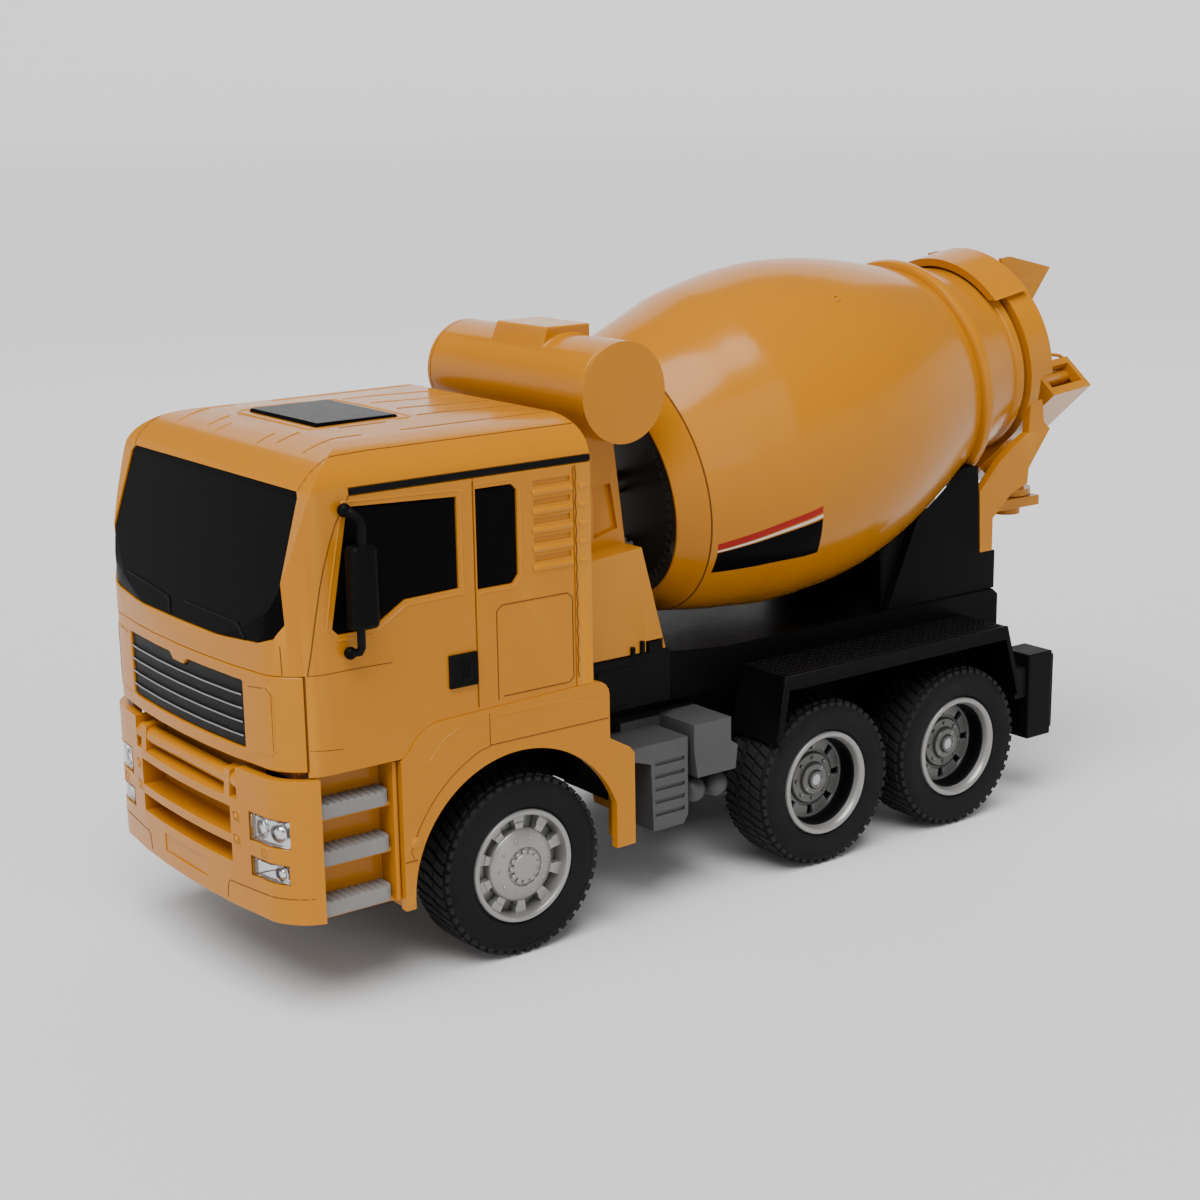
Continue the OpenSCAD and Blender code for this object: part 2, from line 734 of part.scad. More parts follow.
// Front bumper with two air slots, lamp pockets and a blank plate
module front_bumper() {
    color(yellow) placed() difference() {
        union() {
            difference() {
                cab_prism(1.6, bumper_low, bumper_high);
                cab_prism(-1.4, bumper_low - 1, bumper_high + 1);
                block([-80, -80, 20], [74.8, 80, 90]);
            }
            block([79, -37, 42], [87.5, 37, 76.4]);
            both_sides() block([64.2, 34, 46], [86.4, 39, 53]);
        }
        block([81, -31, 54], [95, 31, 63]);
        block([81, -31, 45], [95, 31, 51]);
        difference() {
            side_plate([[81, 67.5], [92, 65.5], [92, 78], [81, 78]], -35, 35);
            cross_rod(85.6, 71, -40, 40, 2.9);
            both_sides()
                side_plate([[80, 60], [87.6, 60], [89, 66], [88.4, 74.4], [84, 75.4], [80, 74]], 27.5, 31);
        }
        both_sides() lamp_pockets(0.3);
        block([89.6, -15, 35.6], [95, 15, 41.6]);
    }
}

// Space of the two lamps on the left
module lamp_pockets(gap) {
    block([70, 41.5 - gap, 55 - gap], [100, 57.5 + gap, 63.5 + gap]);
    block([70, 41.5 - gap, 43.6 - gap], [100, 57 + gap, 49.4 + gap]);
}

module headlamp_lenses() {
    color(lens) placed() both_sides() intersection() {
        lamp_pockets(0);
        difference() {
            cab_prism(1.3, bumper_low, bumper_high);
            cab_prism(0.1, bumper_low - 1, bumper_high + 1);
        }
    }
}

module headlamp_reflectors() {
    color(silver) placed() both_sides() intersection() {
        lamp_pockets(0);
        difference() {
            cab_prism(-0.4, bumper_low, bumper_high);
            cab_prism(-1.8, bumper_low - 1, bumper_high + 1);
        }
    }
}

// Yellow wells behind the three steps on each side, with a rounded pillar towards the wheel
module step_wells() {
    color(yellow) placed() both_sides() {
        block([47, 51, bumper_low], [74.5, 53.4, 76.2]);
        plan_plate([[47, 53.4], [47, 60.9], [48.4, 60.9], [49.2, 58], [49.4, 53.4]], bumper_low, 76.2);
        for (z = [bumper_low, 47.1, 62])
            block([49, 53.4, z], [74.5, 59.5, z + 1.2]);
    }
}

module step_treads() {
    color(mid_grey) placed() both_sides()
        for (z = [bumper_low, 47.1, 62])
            difference() {
                plan_plate([[50, 53.5], [74.4, 53.5], [74.4, 61.6], [52.4, 61.6], [50.6, 60.6], [50, 58.6]],
                    z + 1.2, z + 6);
                for (x = [52:2.4:73])
                    block([x, 53, z + 5.5], [x + 1, 62.2, z + 7]);
            }
}

// Fender over a front wheel on the left: outer face and wheel-well lining
module front_fender() {
    arch_r = 43.6;
    difference() {
        union() {
            side_plate(fender_outline(), 60, cab_half_w + 0.5);
            intersection() {
                difference() {
                    cross_rod(0, axle_z, 40, 60.2, arch_r + 1.8);
                    cross_rod(0, axle_z, 39, 61, arch_r);
                }
                side_plate(fender_outline(), 30, 80);
            }
            block([-43, 51, 29.5], [-40.8, 60.5, 61]);
        }
        intersection() {
            cross_rod(0, axle_z, 30, 60, arch_r);
            block([-40.8, 30, 0], [60, 60, 71.5]);
        }
        intersection() {
            cross_rod(2.5, axle_z, 59.9, 80, 40.6);
            block([-35.4, 59.9, 0], [60, 80, 71.5]);
        }
        block([-60, 30, 0], [60, 80, 27.7]);
    }
}

module front_fenders() {
    color(yellow) placed() both_sides() front_fender();
}

// ---------- tank and front pedestal ----------

tank_x = -53.2;
tank_z = 177.8;

// Water tank across the truck, with its filler on top
module water_tank() {
    color(yellow) placed() difference() {
        union() {
            cross_rod(tank_x, tank_z, -tank_half + 1.5, tank_half - 1.5, tank_r);
            side_plate([[tank_x - 9, tank_z + 12], [tank_x - 9, tank_z + 19.6], [tank_x + 9, tank_z + 19.6],
                [tank_x + 12, tank_z + 10]], -20, 16);
        }
        cross_rod(tank_x, tank_z, -tank_half, tank_half, tank_r - 1.8);
    }
}

module tank_caps() {
    color(yellow) placed() both_sides() {
        cross_rod(tank_x, tank_z, tank_half - 1.5, tank_half, tank_r);
        cross_rod(tank_x, tank_z, tank_half - 4, tank_half - 1.5, tank_r - 1.8 - 0.1);
    }
}

// Places a piece in the drum's own frame: +Z runs up the drum's axis to the rear
drum_x = -60;
drum_z = 133.3;
module drum_frame() {
    translate([drum_x, 0, drum_z]) rotate([0, drum_tilt - 90, 0]) children();
}

// Yellow housing behind the cab that carries the tank and the front of the drum
module front_pedestal() {
    wall = 2.4;
    lower = [[-29.6, 86.8], [-74.5, 86.8], [-64.6, 123.5], [-29.6, 120.5]];
    lower_in = [[-32, 80], [-73.8, 80], [-62.6, 121], [-32, 118.1]];
    upper = [[-33, 119], [-65, 119], [-65.2, 123.2], [-60.9, 157.5], [-61, 168], [-36, 168], [-33, 157]];
    upper_in = [[-35.4, 110], [-62, 110], [-62.7, 123.2], [-58.6, 154], [-35.4, 154]];
    color(yellow) placed() difference() {
        union() {
            side_plate(lower, -40, 40);
            side_plate(upper, -30, 30);
        }
        side_plate(lower_in, -40 + wall, 40 - wall);
        side_plate(upper_in, -30 + wall, 30 - wall);
        cross_rod(tank_x, tank_z, -80, 80, tank_r);
        both_sides() side_plate([[-51.8, 144.5], [-59.3, 144.8], [-62.1, 129], [-52, 126.4]], 28.2, 40);
        drum_frame() translate([0, 0, -20]) cylinder(h = 40, r = 4);
        drum_frame() translate([-pinion_down, 0, -10]) cylinder(h = 30, r = 4.5);
        both_sides() block([-73.5, 37, 80], [-66, 45, 90.5]);
    }
}

// Steel spindle on which the front of the drum turns
module drum_spindle() {
    color(steel) placed() drum_frame() {
        translate([0, 0, -4]) cylinder(h = 38, r = 4);
        translate([0, 0, -6]) cylinder(h = 3.5, r = 7);
    }
}

pinion_down = ring_module * (ring_teeth - drum_pinion_teeth) / 2;

// Motor that turns the drum
module drum_motor() {
    color(dark_grey) placed() drum_frame() translate([-pinion_down, 0, 0]) difference() {
        intersection() {
            translate([0, 0, -24]) cylinder(h = 21, r = 8);
            translate([-8, -6.5, -25]) cube([16, 13, 24]);
        }
        translate([0, 0, -14]) cylinder(h = 20, r = 1.5 + run_fit);
    }
}

// Pinion inside the ring gear, with a tooth in the lowest gap
module drum_pinion() {
    color("white") placed() drum_frame() translate([-pinion_down, 0, 0]) {
        translate([0, 0, 20]) linear_extrude(5) rotate([0, 0, 180])
            polygon(gear_outline(drum_pinion_teeth, ring_module));
        translate([0, 0, -12]) cylinder(h = 32 + eps, r = 1.5);
    }
}

// ---------- drum ----------

flange_back = 27.8;
neck_r = 34;
collar_r = 39.4;
flange_front = 18.6;

// Radius of the drum's outside at distances along its axis: front cone, belly, rear cone, ribs and mouth
drum_profile = [[flange_back, 49], [45, 54.3], [70, 59.9], [95, 61.4], [120, 58.7], [145, 51.5], [166, 43.7],
    [167, 46], [170, 46.3], [171.5, 43.2], [193, 37], [194, 37.6], [196, 37.6], [197, 34]];

// Yellow ring that closes the front of the drum shell
module drum_flange() {
    color(yellow) placed() drum_frame() rotate_extrude()
        polygon([[40.2, flange_front], [41.5, flange_front], [43, 20.6], [45.6, 24.2], [49, flange_back],
            [42.5, flange_back], [42.5, 26.2], [40.2, 26.2]]);
}

// Ring gear with a web and the hub that turns on the spindle
module ring_gear() {
    color(black) placed() drum_frame() difference() {
        union() {
            translate([0, 0, 19.6]) cylinder(h = 7.6, r = 40);
            translate([0, 0, 26.2]) cylinder(h = 1.4, r = 42.4);
            translate([0, 0, 25]) cylinder(h = 9, r = 9);
        }
        translate([0, 0, 17]) linear_extrude(8.4) rotate([0, 0, 180])
            polygon(ring_outline(ring_teeth, ring_module));
        translate([0, 0, 17]) cylinder(h = 20, r = 4 + run_fit);
    }
}

// Shell of the drum, open at the mouth
module drum_shell() {
    outer = [for (p = drum_profile) [p[1], p[0]]];
    inner = [for (p = drum_profile) let (neck = p[0] > 166 ? 43.4 - (p[0] - 166) * 0.25 : p[1])
        [min(p[1], neck) - drum_wall, p[0]]];
    color(yellow) placed() drum_frame() rotate_extrude()
        polygon(concat(outer, [[neck_r, 204.5], [31.6, 204.5]],
            [for (i = [len(inner) - 1:-1:0]) inner[i]]));
}

// Space that the turning drum sweeps, with a margin
module drum_sweep(margin) {
    drum_frame() rotate_extrude()
        polygon(concat([[0, flange_front - margin]], [[42 + margin, flange_front - margin]],
            [for (p = drum_profile) [p[1] + margin, p[0]]], [[34.4, 205], [0, 206]]));
}

// ---------- rear of the drum ----------

// Black supports at the rear of the deck, one each side, joined by a cross wall
module rear_pedestal() {
    plate = [[-184, deck_top], [-241.5, deck_top], [-241.5, 96.4], [-232.9, 96.4], [-231.9, 119.8],
        [-231, 131], [-224, 131], [-205.4, 121.7], [-198, 112]];
    color(black) placed() difference() {
        union() {
            both_sides() side_plate(plate, 32.4, 36);
            both_sides() plan_plate([[-184, 32.4], [-184, 28], [-202, 30], [-202, 32.4]], deck_top, 111);
            block([-241.5, -32.4, deck_top], [-238.6, 32.4, 96.4]);
        }
        drum_sweep(1.2);
        block([-200, -32, 100], [-180, 32, 140]);
    }
}

// Fixed collar round the mouth of the drum, carried by two yellow arms
module mouth_collar() {
    arm = [[-233.4, 96.6], [-240, 96.6], [-240, 109.2], [-250.5, 118], [-259, 120.6], [-259.5, 126.5],
        [-271, 141], [-267.5, 144], [-266, 153], [-259.6, 152.4], [-258.8, 140.6], [-253, 137.6],
        [-243, 131], [-232.4, 120.4]];
    color(yellow) placed() difference() {
        union() {
            drum_frame() difference() {
                translate([0, 0, 198.3]) cylinder(h = 5.2, r = collar_r);
                translate([0, 0, 190]) cylinder(h = 20, r = neck_r + 0.4);
            }
            drum_frame() difference() {
                translate([0, 0, 203.4]) cylinder(h = 4.6, r = collar_r);
                translate([0, 0, 200]) cylinder(h = 10, r = neck_r + 0.4);
                translate([-60, -60, 198]) cube([54, 120, 20]);
            }
            drum_frame() intersection() {
                difference() {
                    translate([0, 0, 190.4]) cylinder(h = 17.6, r = collar_r + 2.2);
                    translate([0, 0, 180]) cylinder(h = 18.3, r = 38.6);
                    translate([0, 0, 190]) cylinder(h = 20, r = neck_r + 0.4);
                }
                translate([27, -60, 180]) cube([40, 120, 40]);
            }
            difference() {
                union() {
                    both_sides() side_plate(arm, 32.6, 36);
                    block([-240, -33, 97], [-236.2, 33, 109]);
                    block([-294, -11, 104], [-236.2, 11, 108]);
                    both_sides() side_plate([[-239.9, 97], [-239.9, 104], [-262, 104]], 8, 11);
                    post(-286, 0, 100, 108, 6);
                }
                drum_frame() translate([0, 0, 150]) cylinder(h = 48, r = 38.4);
                drum_frame() translate([0, 0, 190]) cylinder(h = 30, r = 36);
            }
        }
        post(-286, 0, 98, 112, 3);
    }
}
// Open hopper above the mouth
module hopper() {
    outline = [[-261.8, 187], [-258.3, 207], [-263, 207.5], [-286, 202], [-274, 187]];
    hollow = [[-255, 188.8], [-255, 215], [-290, 215], [-285.6, 202], [-273.2, 188.8]];
    color(yellow) placed() difference() {
        union() {
            side_plate(outline, -20, 20);
            drum_frame() intersection() {
                difference() {
                    translate([0, 0, 208]) cylinder(h = 2, r = collar_r);
                    translate([0, 0, 200]) cylinder(h = 20, r = neck_r + 0.4);
                }
                translate([-6, -60, 200]) cube([60, 120, 20]);
            }
        }
        side_plate(hollow, -18.2, 18.2);
        drum_frame() translate([0, 0, 190]) cylinder(h = 18, r = 60);
    }
}

// Chute with its turntable, free to swing round the upright pin
pivot_x = -286;
module chute() {
    length = 44;
    depth = 19.7;
    side = [[-14, 4], [length, 4], [length, depth], [16, depth], [-4, 8], [-14, 7]];
    color(yellow) placed() translate([pivot_x, 0, 0]) rotate([0, 0, chute_yaw]) {
        difference() {
            union() {
                post(0, 0, 100.5, 109, 3 - run_fit);
                post(0, 0, 108.3, 111, 10);
                block([-6, -4.4, 110.5], [6, 4.4, 117.2]);
                translate([0, 0, 119]) rotate([0, -chute_pitch, 0]) difference() {
                    side_plate(side, -chute_half_w, chute_half_w);
                    block([-20, -chute_half_w + 2, 6], [length - 4, chute_half_w - 2, 40]);
                    translate([length, 0, 0])
                        block([-5, -chute_half_w + 3.5, 7.5], [5, chute_half_w - 3.5, depth - 3]);
                    block([-20, -40, 4], [-4, -chute_half_w + 4, 20]);
                    block([-20, chute_half_w - 4, 4], [-4, 40, 20]);
                }
                translate([0, 0, 119]) rotate([0, -chute_pitch, 0]) block([-7, -5, -3], [7, 5, 4.5]);
            }
        }
    }
}

chassis_tray();
front_subframe();
battery_cover();
battery_cells();
circuit_board();
mid_axle_carrier();
rear_gearbox();
drive_motor();
drive_pinion();
rear_axle_gear();
steering_servo();
servo_arm();
tie_rod();
kingpins();
knuckle_left();
knuckle_right();
front_tyre_left();
front_tyre_right();
front_rim_left();
front_rim_right();
mid_axle_shaft();
mid_tyres();
mid_rims();
rear_axle_shaft();
rear_tyres();
rear_rims();
cab_body();
cab_front_panel();
cab_roof();
windshield();
side_windows();
side_trim();
roof_hatch();
grille();
mirrors();
front_bumper();
headlamp_lenses();
headlamp_reflectors();
step_wells();
step_treads();
front_fenders();
chassis_screws();
power_switch();
water_tank();
tank_caps();
front_pedestal();
drum_motor();
drum_pinion();
drum_spindle();
drum_flange();
ring_gear();
drum_shell();
rear_deck();
rear_fenders();
tail_lamps();
rear_pedestal();
mouth_collar();
hopper();
chute();
side_boxes();
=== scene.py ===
import json
import math

import bmesh
import bpy
from mathutils import Matrix, Vector
from mathutils.bvhtree import BVHTree


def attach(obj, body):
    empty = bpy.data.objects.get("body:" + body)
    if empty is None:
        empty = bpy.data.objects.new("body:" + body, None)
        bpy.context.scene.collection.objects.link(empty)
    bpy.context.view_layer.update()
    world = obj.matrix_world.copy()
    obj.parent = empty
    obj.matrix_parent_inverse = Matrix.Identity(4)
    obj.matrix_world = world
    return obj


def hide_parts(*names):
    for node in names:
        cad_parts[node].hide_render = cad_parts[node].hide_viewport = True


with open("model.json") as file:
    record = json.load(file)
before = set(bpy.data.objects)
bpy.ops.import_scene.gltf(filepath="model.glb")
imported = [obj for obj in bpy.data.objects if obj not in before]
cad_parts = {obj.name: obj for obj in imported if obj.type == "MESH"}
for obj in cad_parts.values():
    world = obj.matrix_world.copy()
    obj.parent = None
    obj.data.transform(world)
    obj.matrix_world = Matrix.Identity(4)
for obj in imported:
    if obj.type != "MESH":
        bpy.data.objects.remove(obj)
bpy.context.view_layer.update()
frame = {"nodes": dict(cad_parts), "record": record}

MM = 0.001
AXLE_X = 109.97          # front axle, from the middle of the footprint
AXLE_Z = 30.5
MID_X, REAR_X = -132, -199
FRONT_TYRE_W, REAR_TYRE_W = 21, 23
WHEEL_OUT_Y = 60.2
DRUM_FOOT = (-60, 0, 133.3)
DRUM_TILT = math.radians(9.9)
CHUTE_PIN_X = -286
CHUTE_HINGE_Z = 119
CHUTE_YAW = math.radians(106)
CHUTE_PITCH = math.radians(45)
CHUTE_HALF_W = 17
SIDES = ((1, "left"), (-1, "right"))
DOWN, BACK = (0, 0, -1), (-1, 0, 0)
ORIGIN = Vector((AXLE_X * MM, 0, 0))
NODE_BODY = {n: b for b, names in frame["record"]["behaviour"]["bodies"].items() for n in names}
NODE_SLOT = {s["node"]: s["material_slot"] for s in frame["record"]["subparts"]}


# ---------- materials ----------

def noise(nt, coord, scale, detail):
    """Noise texture that follows the object's own coordinates."""
    tex = nt.nodes.new("ShaderNodeTexNoise")
    tex.inputs["Scale"].default_value = scale
    tex.inputs["Detail"].default_value = detail
    nt.links.new(coord.outputs["Object"], tex.inputs["Vector"])
    return tex.outputs["Fac"]


def material(name, color, rough, metal=0.0, coat=0.0, coat_rough=0.05, spec=0.5, ior=1.5,
             vary=0.04, rough_vary=0.06, bump=0.02, bump_scale=900.0, wear_and_highlight=0.0, wear_and_highlight_color=(1, 1, 1),
             transmission=0.0, grain=40.0):
    """Plastic or metal with soft colour variation, uneven gloss, a fine moulded grain and lighter convex
    edges: worn edges, and on the gear teeth a painted highlight.
    """
    m = bpy.data.materials.new(name)
    m.use_nodes = True
    nt = m.node_tree
    nt.nodes.clear()
    out = nt.nodes.new("ShaderNodeOutputMaterial")
    bsdf = nt.nodes.new("ShaderNodeBsdfPrincipled")
    nt.links.new(bsdf.outputs[0], out.inputs[0])
    bsdf.inputs["Metallic"].default_value = metal
    bsdf.inputs["IOR"].default_value = ior
    bsdf.inputs["Specular IOR Level"].default_value = spec
    bsdf.inputs["Coat Weight"].default_value = coat
    bsdf.inputs["Coat Roughness"].default_value = coat_rough
    bsdf.inputs["Transmission Weight"].default_value = transmission
    coord = nt.nodes.new("ShaderNodeTexCoord")
    ramp = nt.nodes.new("ShaderNodeValToRGB")
    lo = [c * (1 - vary) for c in color] + [1]
    hi = [min(1, c * (1 + vary)) for c in color] + [1]
    ramp.color_ramp.elements[0].position = 0.3
    ramp.color_ramp.elements[0].color = lo
    ramp.color_ramp.elements[1].position = 0.7
    ramp.color_ramp.elements[1].color = hi
    nt.links.new(noise(nt, coord, grain, 3), ramp.inputs["Fac"])
    last = ramp.outputs["Color"]
    # Convex edges mixed toward a lighter colour: wear, and for gear_black a painted highlight on the teeth
    if wear_and_highlight > 0:
        geo = nt.nodes.new("ShaderNodeNewGeometry")
        edge = nt.nodes.new("ShaderNodeMapRange")
        edge.inputs["From Min"].default_value = 0.53
        edge.inputs["From Max"].default_value = 0.62
        edge.inputs["To Max"].default_value = wear_and_highlight
        nt.links.new(geo.outputs["Pointiness"], edge.inputs["Value"])
        mix = nt.nodes.new("ShaderNodeMix")
        mix.data_type = "RGBA"
        nt.links.new(edge.outputs["Result"], mix.inputs["Factor"])
        nt.links.new(last, mix.inputs["A"])
        mix.inputs["B"].default_value = (*wear_and_highlight_color, 1)
        last = mix.outputs["Result"]
    nt.links.new(last, bsdf.inputs["Base Color"])
    gloss = nt.nodes.new("ShaderNodeMapRange")
    gloss.inputs["To Min"].default_value = max(0.02, rough - rough_vary)
    gloss.inputs["To Max"].default_value = min(1, rough + rough_vary)
    nt.links.new(noise(nt, coord, grain * 6, 4), gloss.inputs["Value"])
    nt.links.new(gloss.outputs["Result"], bsdf.inputs["Roughness"])
    if bump > 0:
        b = nt.nodes.new("ShaderNodeBump")
        b.inputs["Strength"].default_value = 1.0
        b.inputs["Distance"].default_value = bump * MM
        nt.links.new(noise(nt, coord, bump_scale, 2), b.inputs["Height"])
        nt.links.new(b.outputs["Normal"], bsdf.inputs["Normal"])
    return m


YELLOW = (0.42, 0.152, 0.002)
MATS = {
    "yellow_plastic": material("yellow_plastic", YELLOW, 0.20, spec=0.2, coat=0.10, coat_rough=0.06,
                               vary=0.012, rough_vary=0.02, bump=0.004, bump_scale=500, wear_and_highlight=0.2,
                               wear_and_highlight_color=(0.66, 0.30, 0.03)),
    "black_plastic": material("black_plastic", (0.0020, 0.0020, 0.0021), 0.42, spec=0.05, vary=0.15,
                              bump=0.03, wear_and_highlight=0.5, wear_and_highlight_color=(0.012, 0.012, 0.013)),
    "gloss_black": material("gloss_black", (0.0022, 0.0022, 0.0023), 0.22, spec=0.02, vary=0.1,
                            rough_vary=0.03, bump=0.004, bump_scale=300),
    "dark_grey_plastic": material("dark_grey_plastic", (0.020, 0.0195, 0.019), 0.45, spec=0.2, vary=0.12,
                                  bump=0.035, wear_and_highlight=0.4, wear_and_highlight_color=(0.06, 0.06, 0.06)),
    "mid_grey_plastic": material("mid_grey_plastic", (0.12, 0.118, 0.116), 0.5, spec=0.3, vary=0.12,
                                 bump=0.05, bump_scale=1500),
    "light_grey_plastic": material("light_grey_plastic", (0.19, 0.18, 0.17), 0.6, spec=0.35, vary=0.12,
                                   bump=0.05, bump_scale=1500),
    "box_grey": material("box_grey", (0.052, 0.052, 0.053), 0.42, spec=0.3, vary=0.1, bump=0.04,
                         bump_scale=1200),
    # Tooth edges mixed strongly toward grey: a painted highlight that makes the teeth show in the dark recess
    "gear_black": material("gear_black", (0.009, 0.009, 0.009), 0.35, spec=0.3, vary=0.1, bump=0.02, wear_and_highlight=0.8,
                           wear_and_highlight_color=(0.05, 0.05, 0.05)),
    "rim_dark": material("rim_dark", (0.11, 0.108, 0.104), 0.34, metal=0.4, vary=0.08, bump=0.02, wear_and_highlight=0.5,
                         wear_and_highlight_color=(0.3, 0.3, 0.3)),
    "silver_plastic": material("silver_plastic", (0.26, 0.255, 0.245), 0.32, metal=0.5, vary=0.04,
                               bump=0.015, wear_and_highlight=0.3, wear_and_highlight_color=(0.6, 0.6, 0.6)),
    "tyre_rubber": material("tyre_rubber", (0.0058, 0.0058, 0.0058), 0.6, spec=0.12, vary=0.25,
                            rough_vary=0.1, bump=0.04, bump_scale=1800, wear_and_highlight=0.3,
                            wear_and_highlight_color=(0.03, 0.03, 0.03)),
    "steel": material("steel", (0.42, 0.42, 0.43), 0.3, metal=1.0, vary=0.06, bump=0.01),
    "cell_metal": material("cell_metal", (0.4, 0.4, 0.42), 0.35, metal=0.9, bump=0.01),
    "board_green": material("board_green", (0.01, 0.10, 0.03), 0.4, bump=0.02),
    "white_nylon": material("white_nylon", (0.55, 0.55, 0.53), 0.45, bump=0.02),
    "clear_lens": material("clear_lens", (0.92, 0.93, 0.94), 0.05, vary=0.01, rough_vary=0.02, bump=0.0,
                           transmission=1.0, ior=1.45),
    "mirror_chrome": material("mirror_chrome", (0.72, 0.72, 0.74), 0.14, metal=1.0, vary=0.03, bump=0.005),
    "print_red": material("print_red", (0.30, 0.008, 0.004), 0.4, spec=0.15, vary=0.04, bump=0.004),
    "print_white": material("print_white", (0.62, 0.60, 0.55), 0.34, vary=0.03, bump=0.004),
    "grille_mesh": material("grille_mesh", (0.0045, 0.0045, 0.0045), 0.5, spec=0.15, vary=0.6, bump=0.25,
                            bump_scale=2600, grain=1400),
    # Dark orange: parting lines and joints, and painted shade in creases and behind the cab's front gaps
    "joint_and_shade_dark": material("joint_and_shade_dark", (0.12, 0.036, 0.002), 0.55, spec=0.2, vary=0.08, bump=0.01),
}


# ---------- mesh helpers ----------

def P(x, y, z):
    """Front-axle millimetres to metres in the shared frame."""
    return Vector(((x + AXLE_X) * MM, y * MM, z * MM))


def shade(ob, angle=32):
    """Smooth shading with edges sharper than an angle kept sharp."""
    me = ob.data
    me.polygons.foreach_set("use_smooth", [True] * len(me.polygons))
    me.update()
    bm = bmesh.new()
    bm.from_mesh(me)
    limit = math.radians(angle)
    for e in bm.edges:
        if len(e.link_faces) == 2 and e.calc_face_angle(0) > limit:
            e.smooth = False
    bm.to_mesh(me)
    bm.free()


def put(name, bm, body, slot, bevel=0.0, segments=2, angle=32, mm=True):
    """Makes a piece from a bmesh, drawn in front-axle millimetres unless mm is False."""
    if mm:
        for v in bm.verts:
            v.co = v.co * MM + ORIGIN
    bmesh.ops.recalc_face_normals(bm, faces=bm.faces)
    me = bpy.data.meshes.new(name)
    bm.to_mesh(me)
    bm.free()
    ob = bpy.data.objects.new(name, me)
    bpy.context.scene.collection.objects.link(ob)
    me.materials.append(MATS[slot])
    shade(ob, angle)
    if bevel > 0:
        add_bevel(ob, bevel, segments, angle)
    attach(ob, body)
    return ob


def add_bevel(ob, width, segments=2, angle=32):
    """Rounds the sharp edges of a piece by a width in millimetres."""
    b = ob.modifiers.new("edge", "BEVEL")
    b.width = width * MM
    b.segments = segments
    b.limit_method = "ANGLE"
    b.angle_limit = math.radians(angle)
    b.harden_normals = False
    b.use_clamp_overlap = True
    b.miter_outer = "MITER_ARC"
    w = ob.modifiers.new("normals", "WEIGHTED_NORMAL")
    w.keep_sharp = True
    w.weight = 60


def shorten_filler(bm):
    """Moves the right end of the tank's filler inwards."""
    end_y, by = -20, 6.5
    for v in bm.verts:
        if abs(v.co.y / MM - end_y) < 0.05:
            v.co.y += by * MM


def dress(node, bevel=0.45, segments=2, angle=32):
    """A softened copy of a CAD node: flat faces made whole again, edges rounded as a mould leaves them."""
    src = frame["nodes"][node]
    bm = bmesh.new()
    bm.from_mesh(src.data)
    bmesh.ops.remove_doubles(bm, verts=bm.verts, dist=2e-6)
    bmesh.ops.dissolve_limit(bm, angle_limit=math.radians(0.05), verts=bm.verts, edges=bm.edges)
    bmesh.ops.triangulate(bm, faces=[f for f in bm.faces if len(f.verts) > 6], ngon_method="BEAUTY")
    if node == "rear_pedestal":
        reach_drum(bm)
    if node == "water_tank":
        shorten_filler(bm)
    ob = put("look_" + node, bm, NODE_BODY[node], NODE_SLOT[node], bevel, segments, angle, mm=False)
    if node in LOOK:
        ob.data.materials[0] = MATS[LOOK[node]]
    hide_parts(node)
    return ob


def box(bm, low, high, tilt=None, about=(0, 0, 0)):
    """Adds a box to a bmesh; tilt is a rotation matrix about a point."""
    xs, ys, zs = zip(low, high)
    vs = [bm.verts.new((x, y, z)) for x in xs for y in ys for z in zs]
    for f in ((0, 1, 3, 2), (4, 6, 7, 5), (0, 4, 5, 1), (2, 3, 7, 6), (0, 2, 6, 4), (1, 5, 7, 3)):
        bm.faces.new([vs[i] for i in f])
    if tilt is not None:
        bmesh.ops.rotate(bm, verts=vs, cent=about, matrix=tilt)
    return vs


def lathe(bm, profile, frame_m, steps=96, closed=False):
    """Turns a profile of (radius, height) about the local Z axis of frame_m."""
    rings = []
    for r, h in profile:
        if r < 1e-6:
            rings.append([bm.verts.new(frame_m @ Vector((0, 0, h)))])
        else:
            rings.append([bm.verts.new(frame_m @ Vector((r * math.cos(a), r * math.sin(a), h)))
                          for a in (2 * math.pi * i / steps for i in range(steps))])
    pairs = list(zip(rings, rings[1:]))
    if closed:
        pairs.append((rings[-1], rings[0]))
    for a, b in pairs:
        for i in range(steps):
            j = (i + 1) % steps
            if len(a) == 1 and len(b) == 1:
                continue
            if len(a) == 1:
                bm.faces.new((a[0], b[j], b[i]))
            elif len(b) == 1:
                bm.faces.new((a[i], a[j], b[0]))
            else:
                bm.faces.new((a[i], a[j], b[j], b[i]))


def along_y(x, y, z, side=1):
    """Frame whose local Z points outward along +Y or -Y."""
    m = Matrix.Rotation(math.radians(-90), 4, "X")
    m = Matrix.Translation((x, y * side, z)) @ (m if side > 0 else Matrix.Scale(-1, 4, (0, 1, 0)) @ m)
    return m


def tube(name, points, radius, body, slot, res=3):
    """Round rod through a row of points."""
    cu = bpy.data.curves.new(name, "CURVE")
    cu.dimensions = "3D"
    cu.bevel_depth = radius * MM
    cu.bevel_resolution = res
    cu.use_fill_caps = True
    sp = cu.splines.new("POLY")
    sp.points.add(len(points) - 1)
    for p, q in zip(sp.points, points):
        p.co = (*P(*q), 1)
    tmp = bpy.data.objects.new(name + "_c", cu)
    bpy.context.scene.collection.objects.link(tmp)
    bpy.context.view_layer.update()
    me = bpy.data.meshes.new_from_object(tmp.evaluated_get(bpy.context.evaluated_depsgraph_get()))
    bpy.data.objects.remove(tmp)
    bpy.data.curves.remove(cu)
    ob = bpy.data.objects.new(name, me)
    bpy.context.scene.collection.objects.link(ob)
    me.materials.clear()
    me.materials.append(MATS[slot])
    me.polygons.foreach_set("use_smooth", [True] * len(me.polygons))
    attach(ob, body)
    return ob


# ---------- camera, floor and light ----------

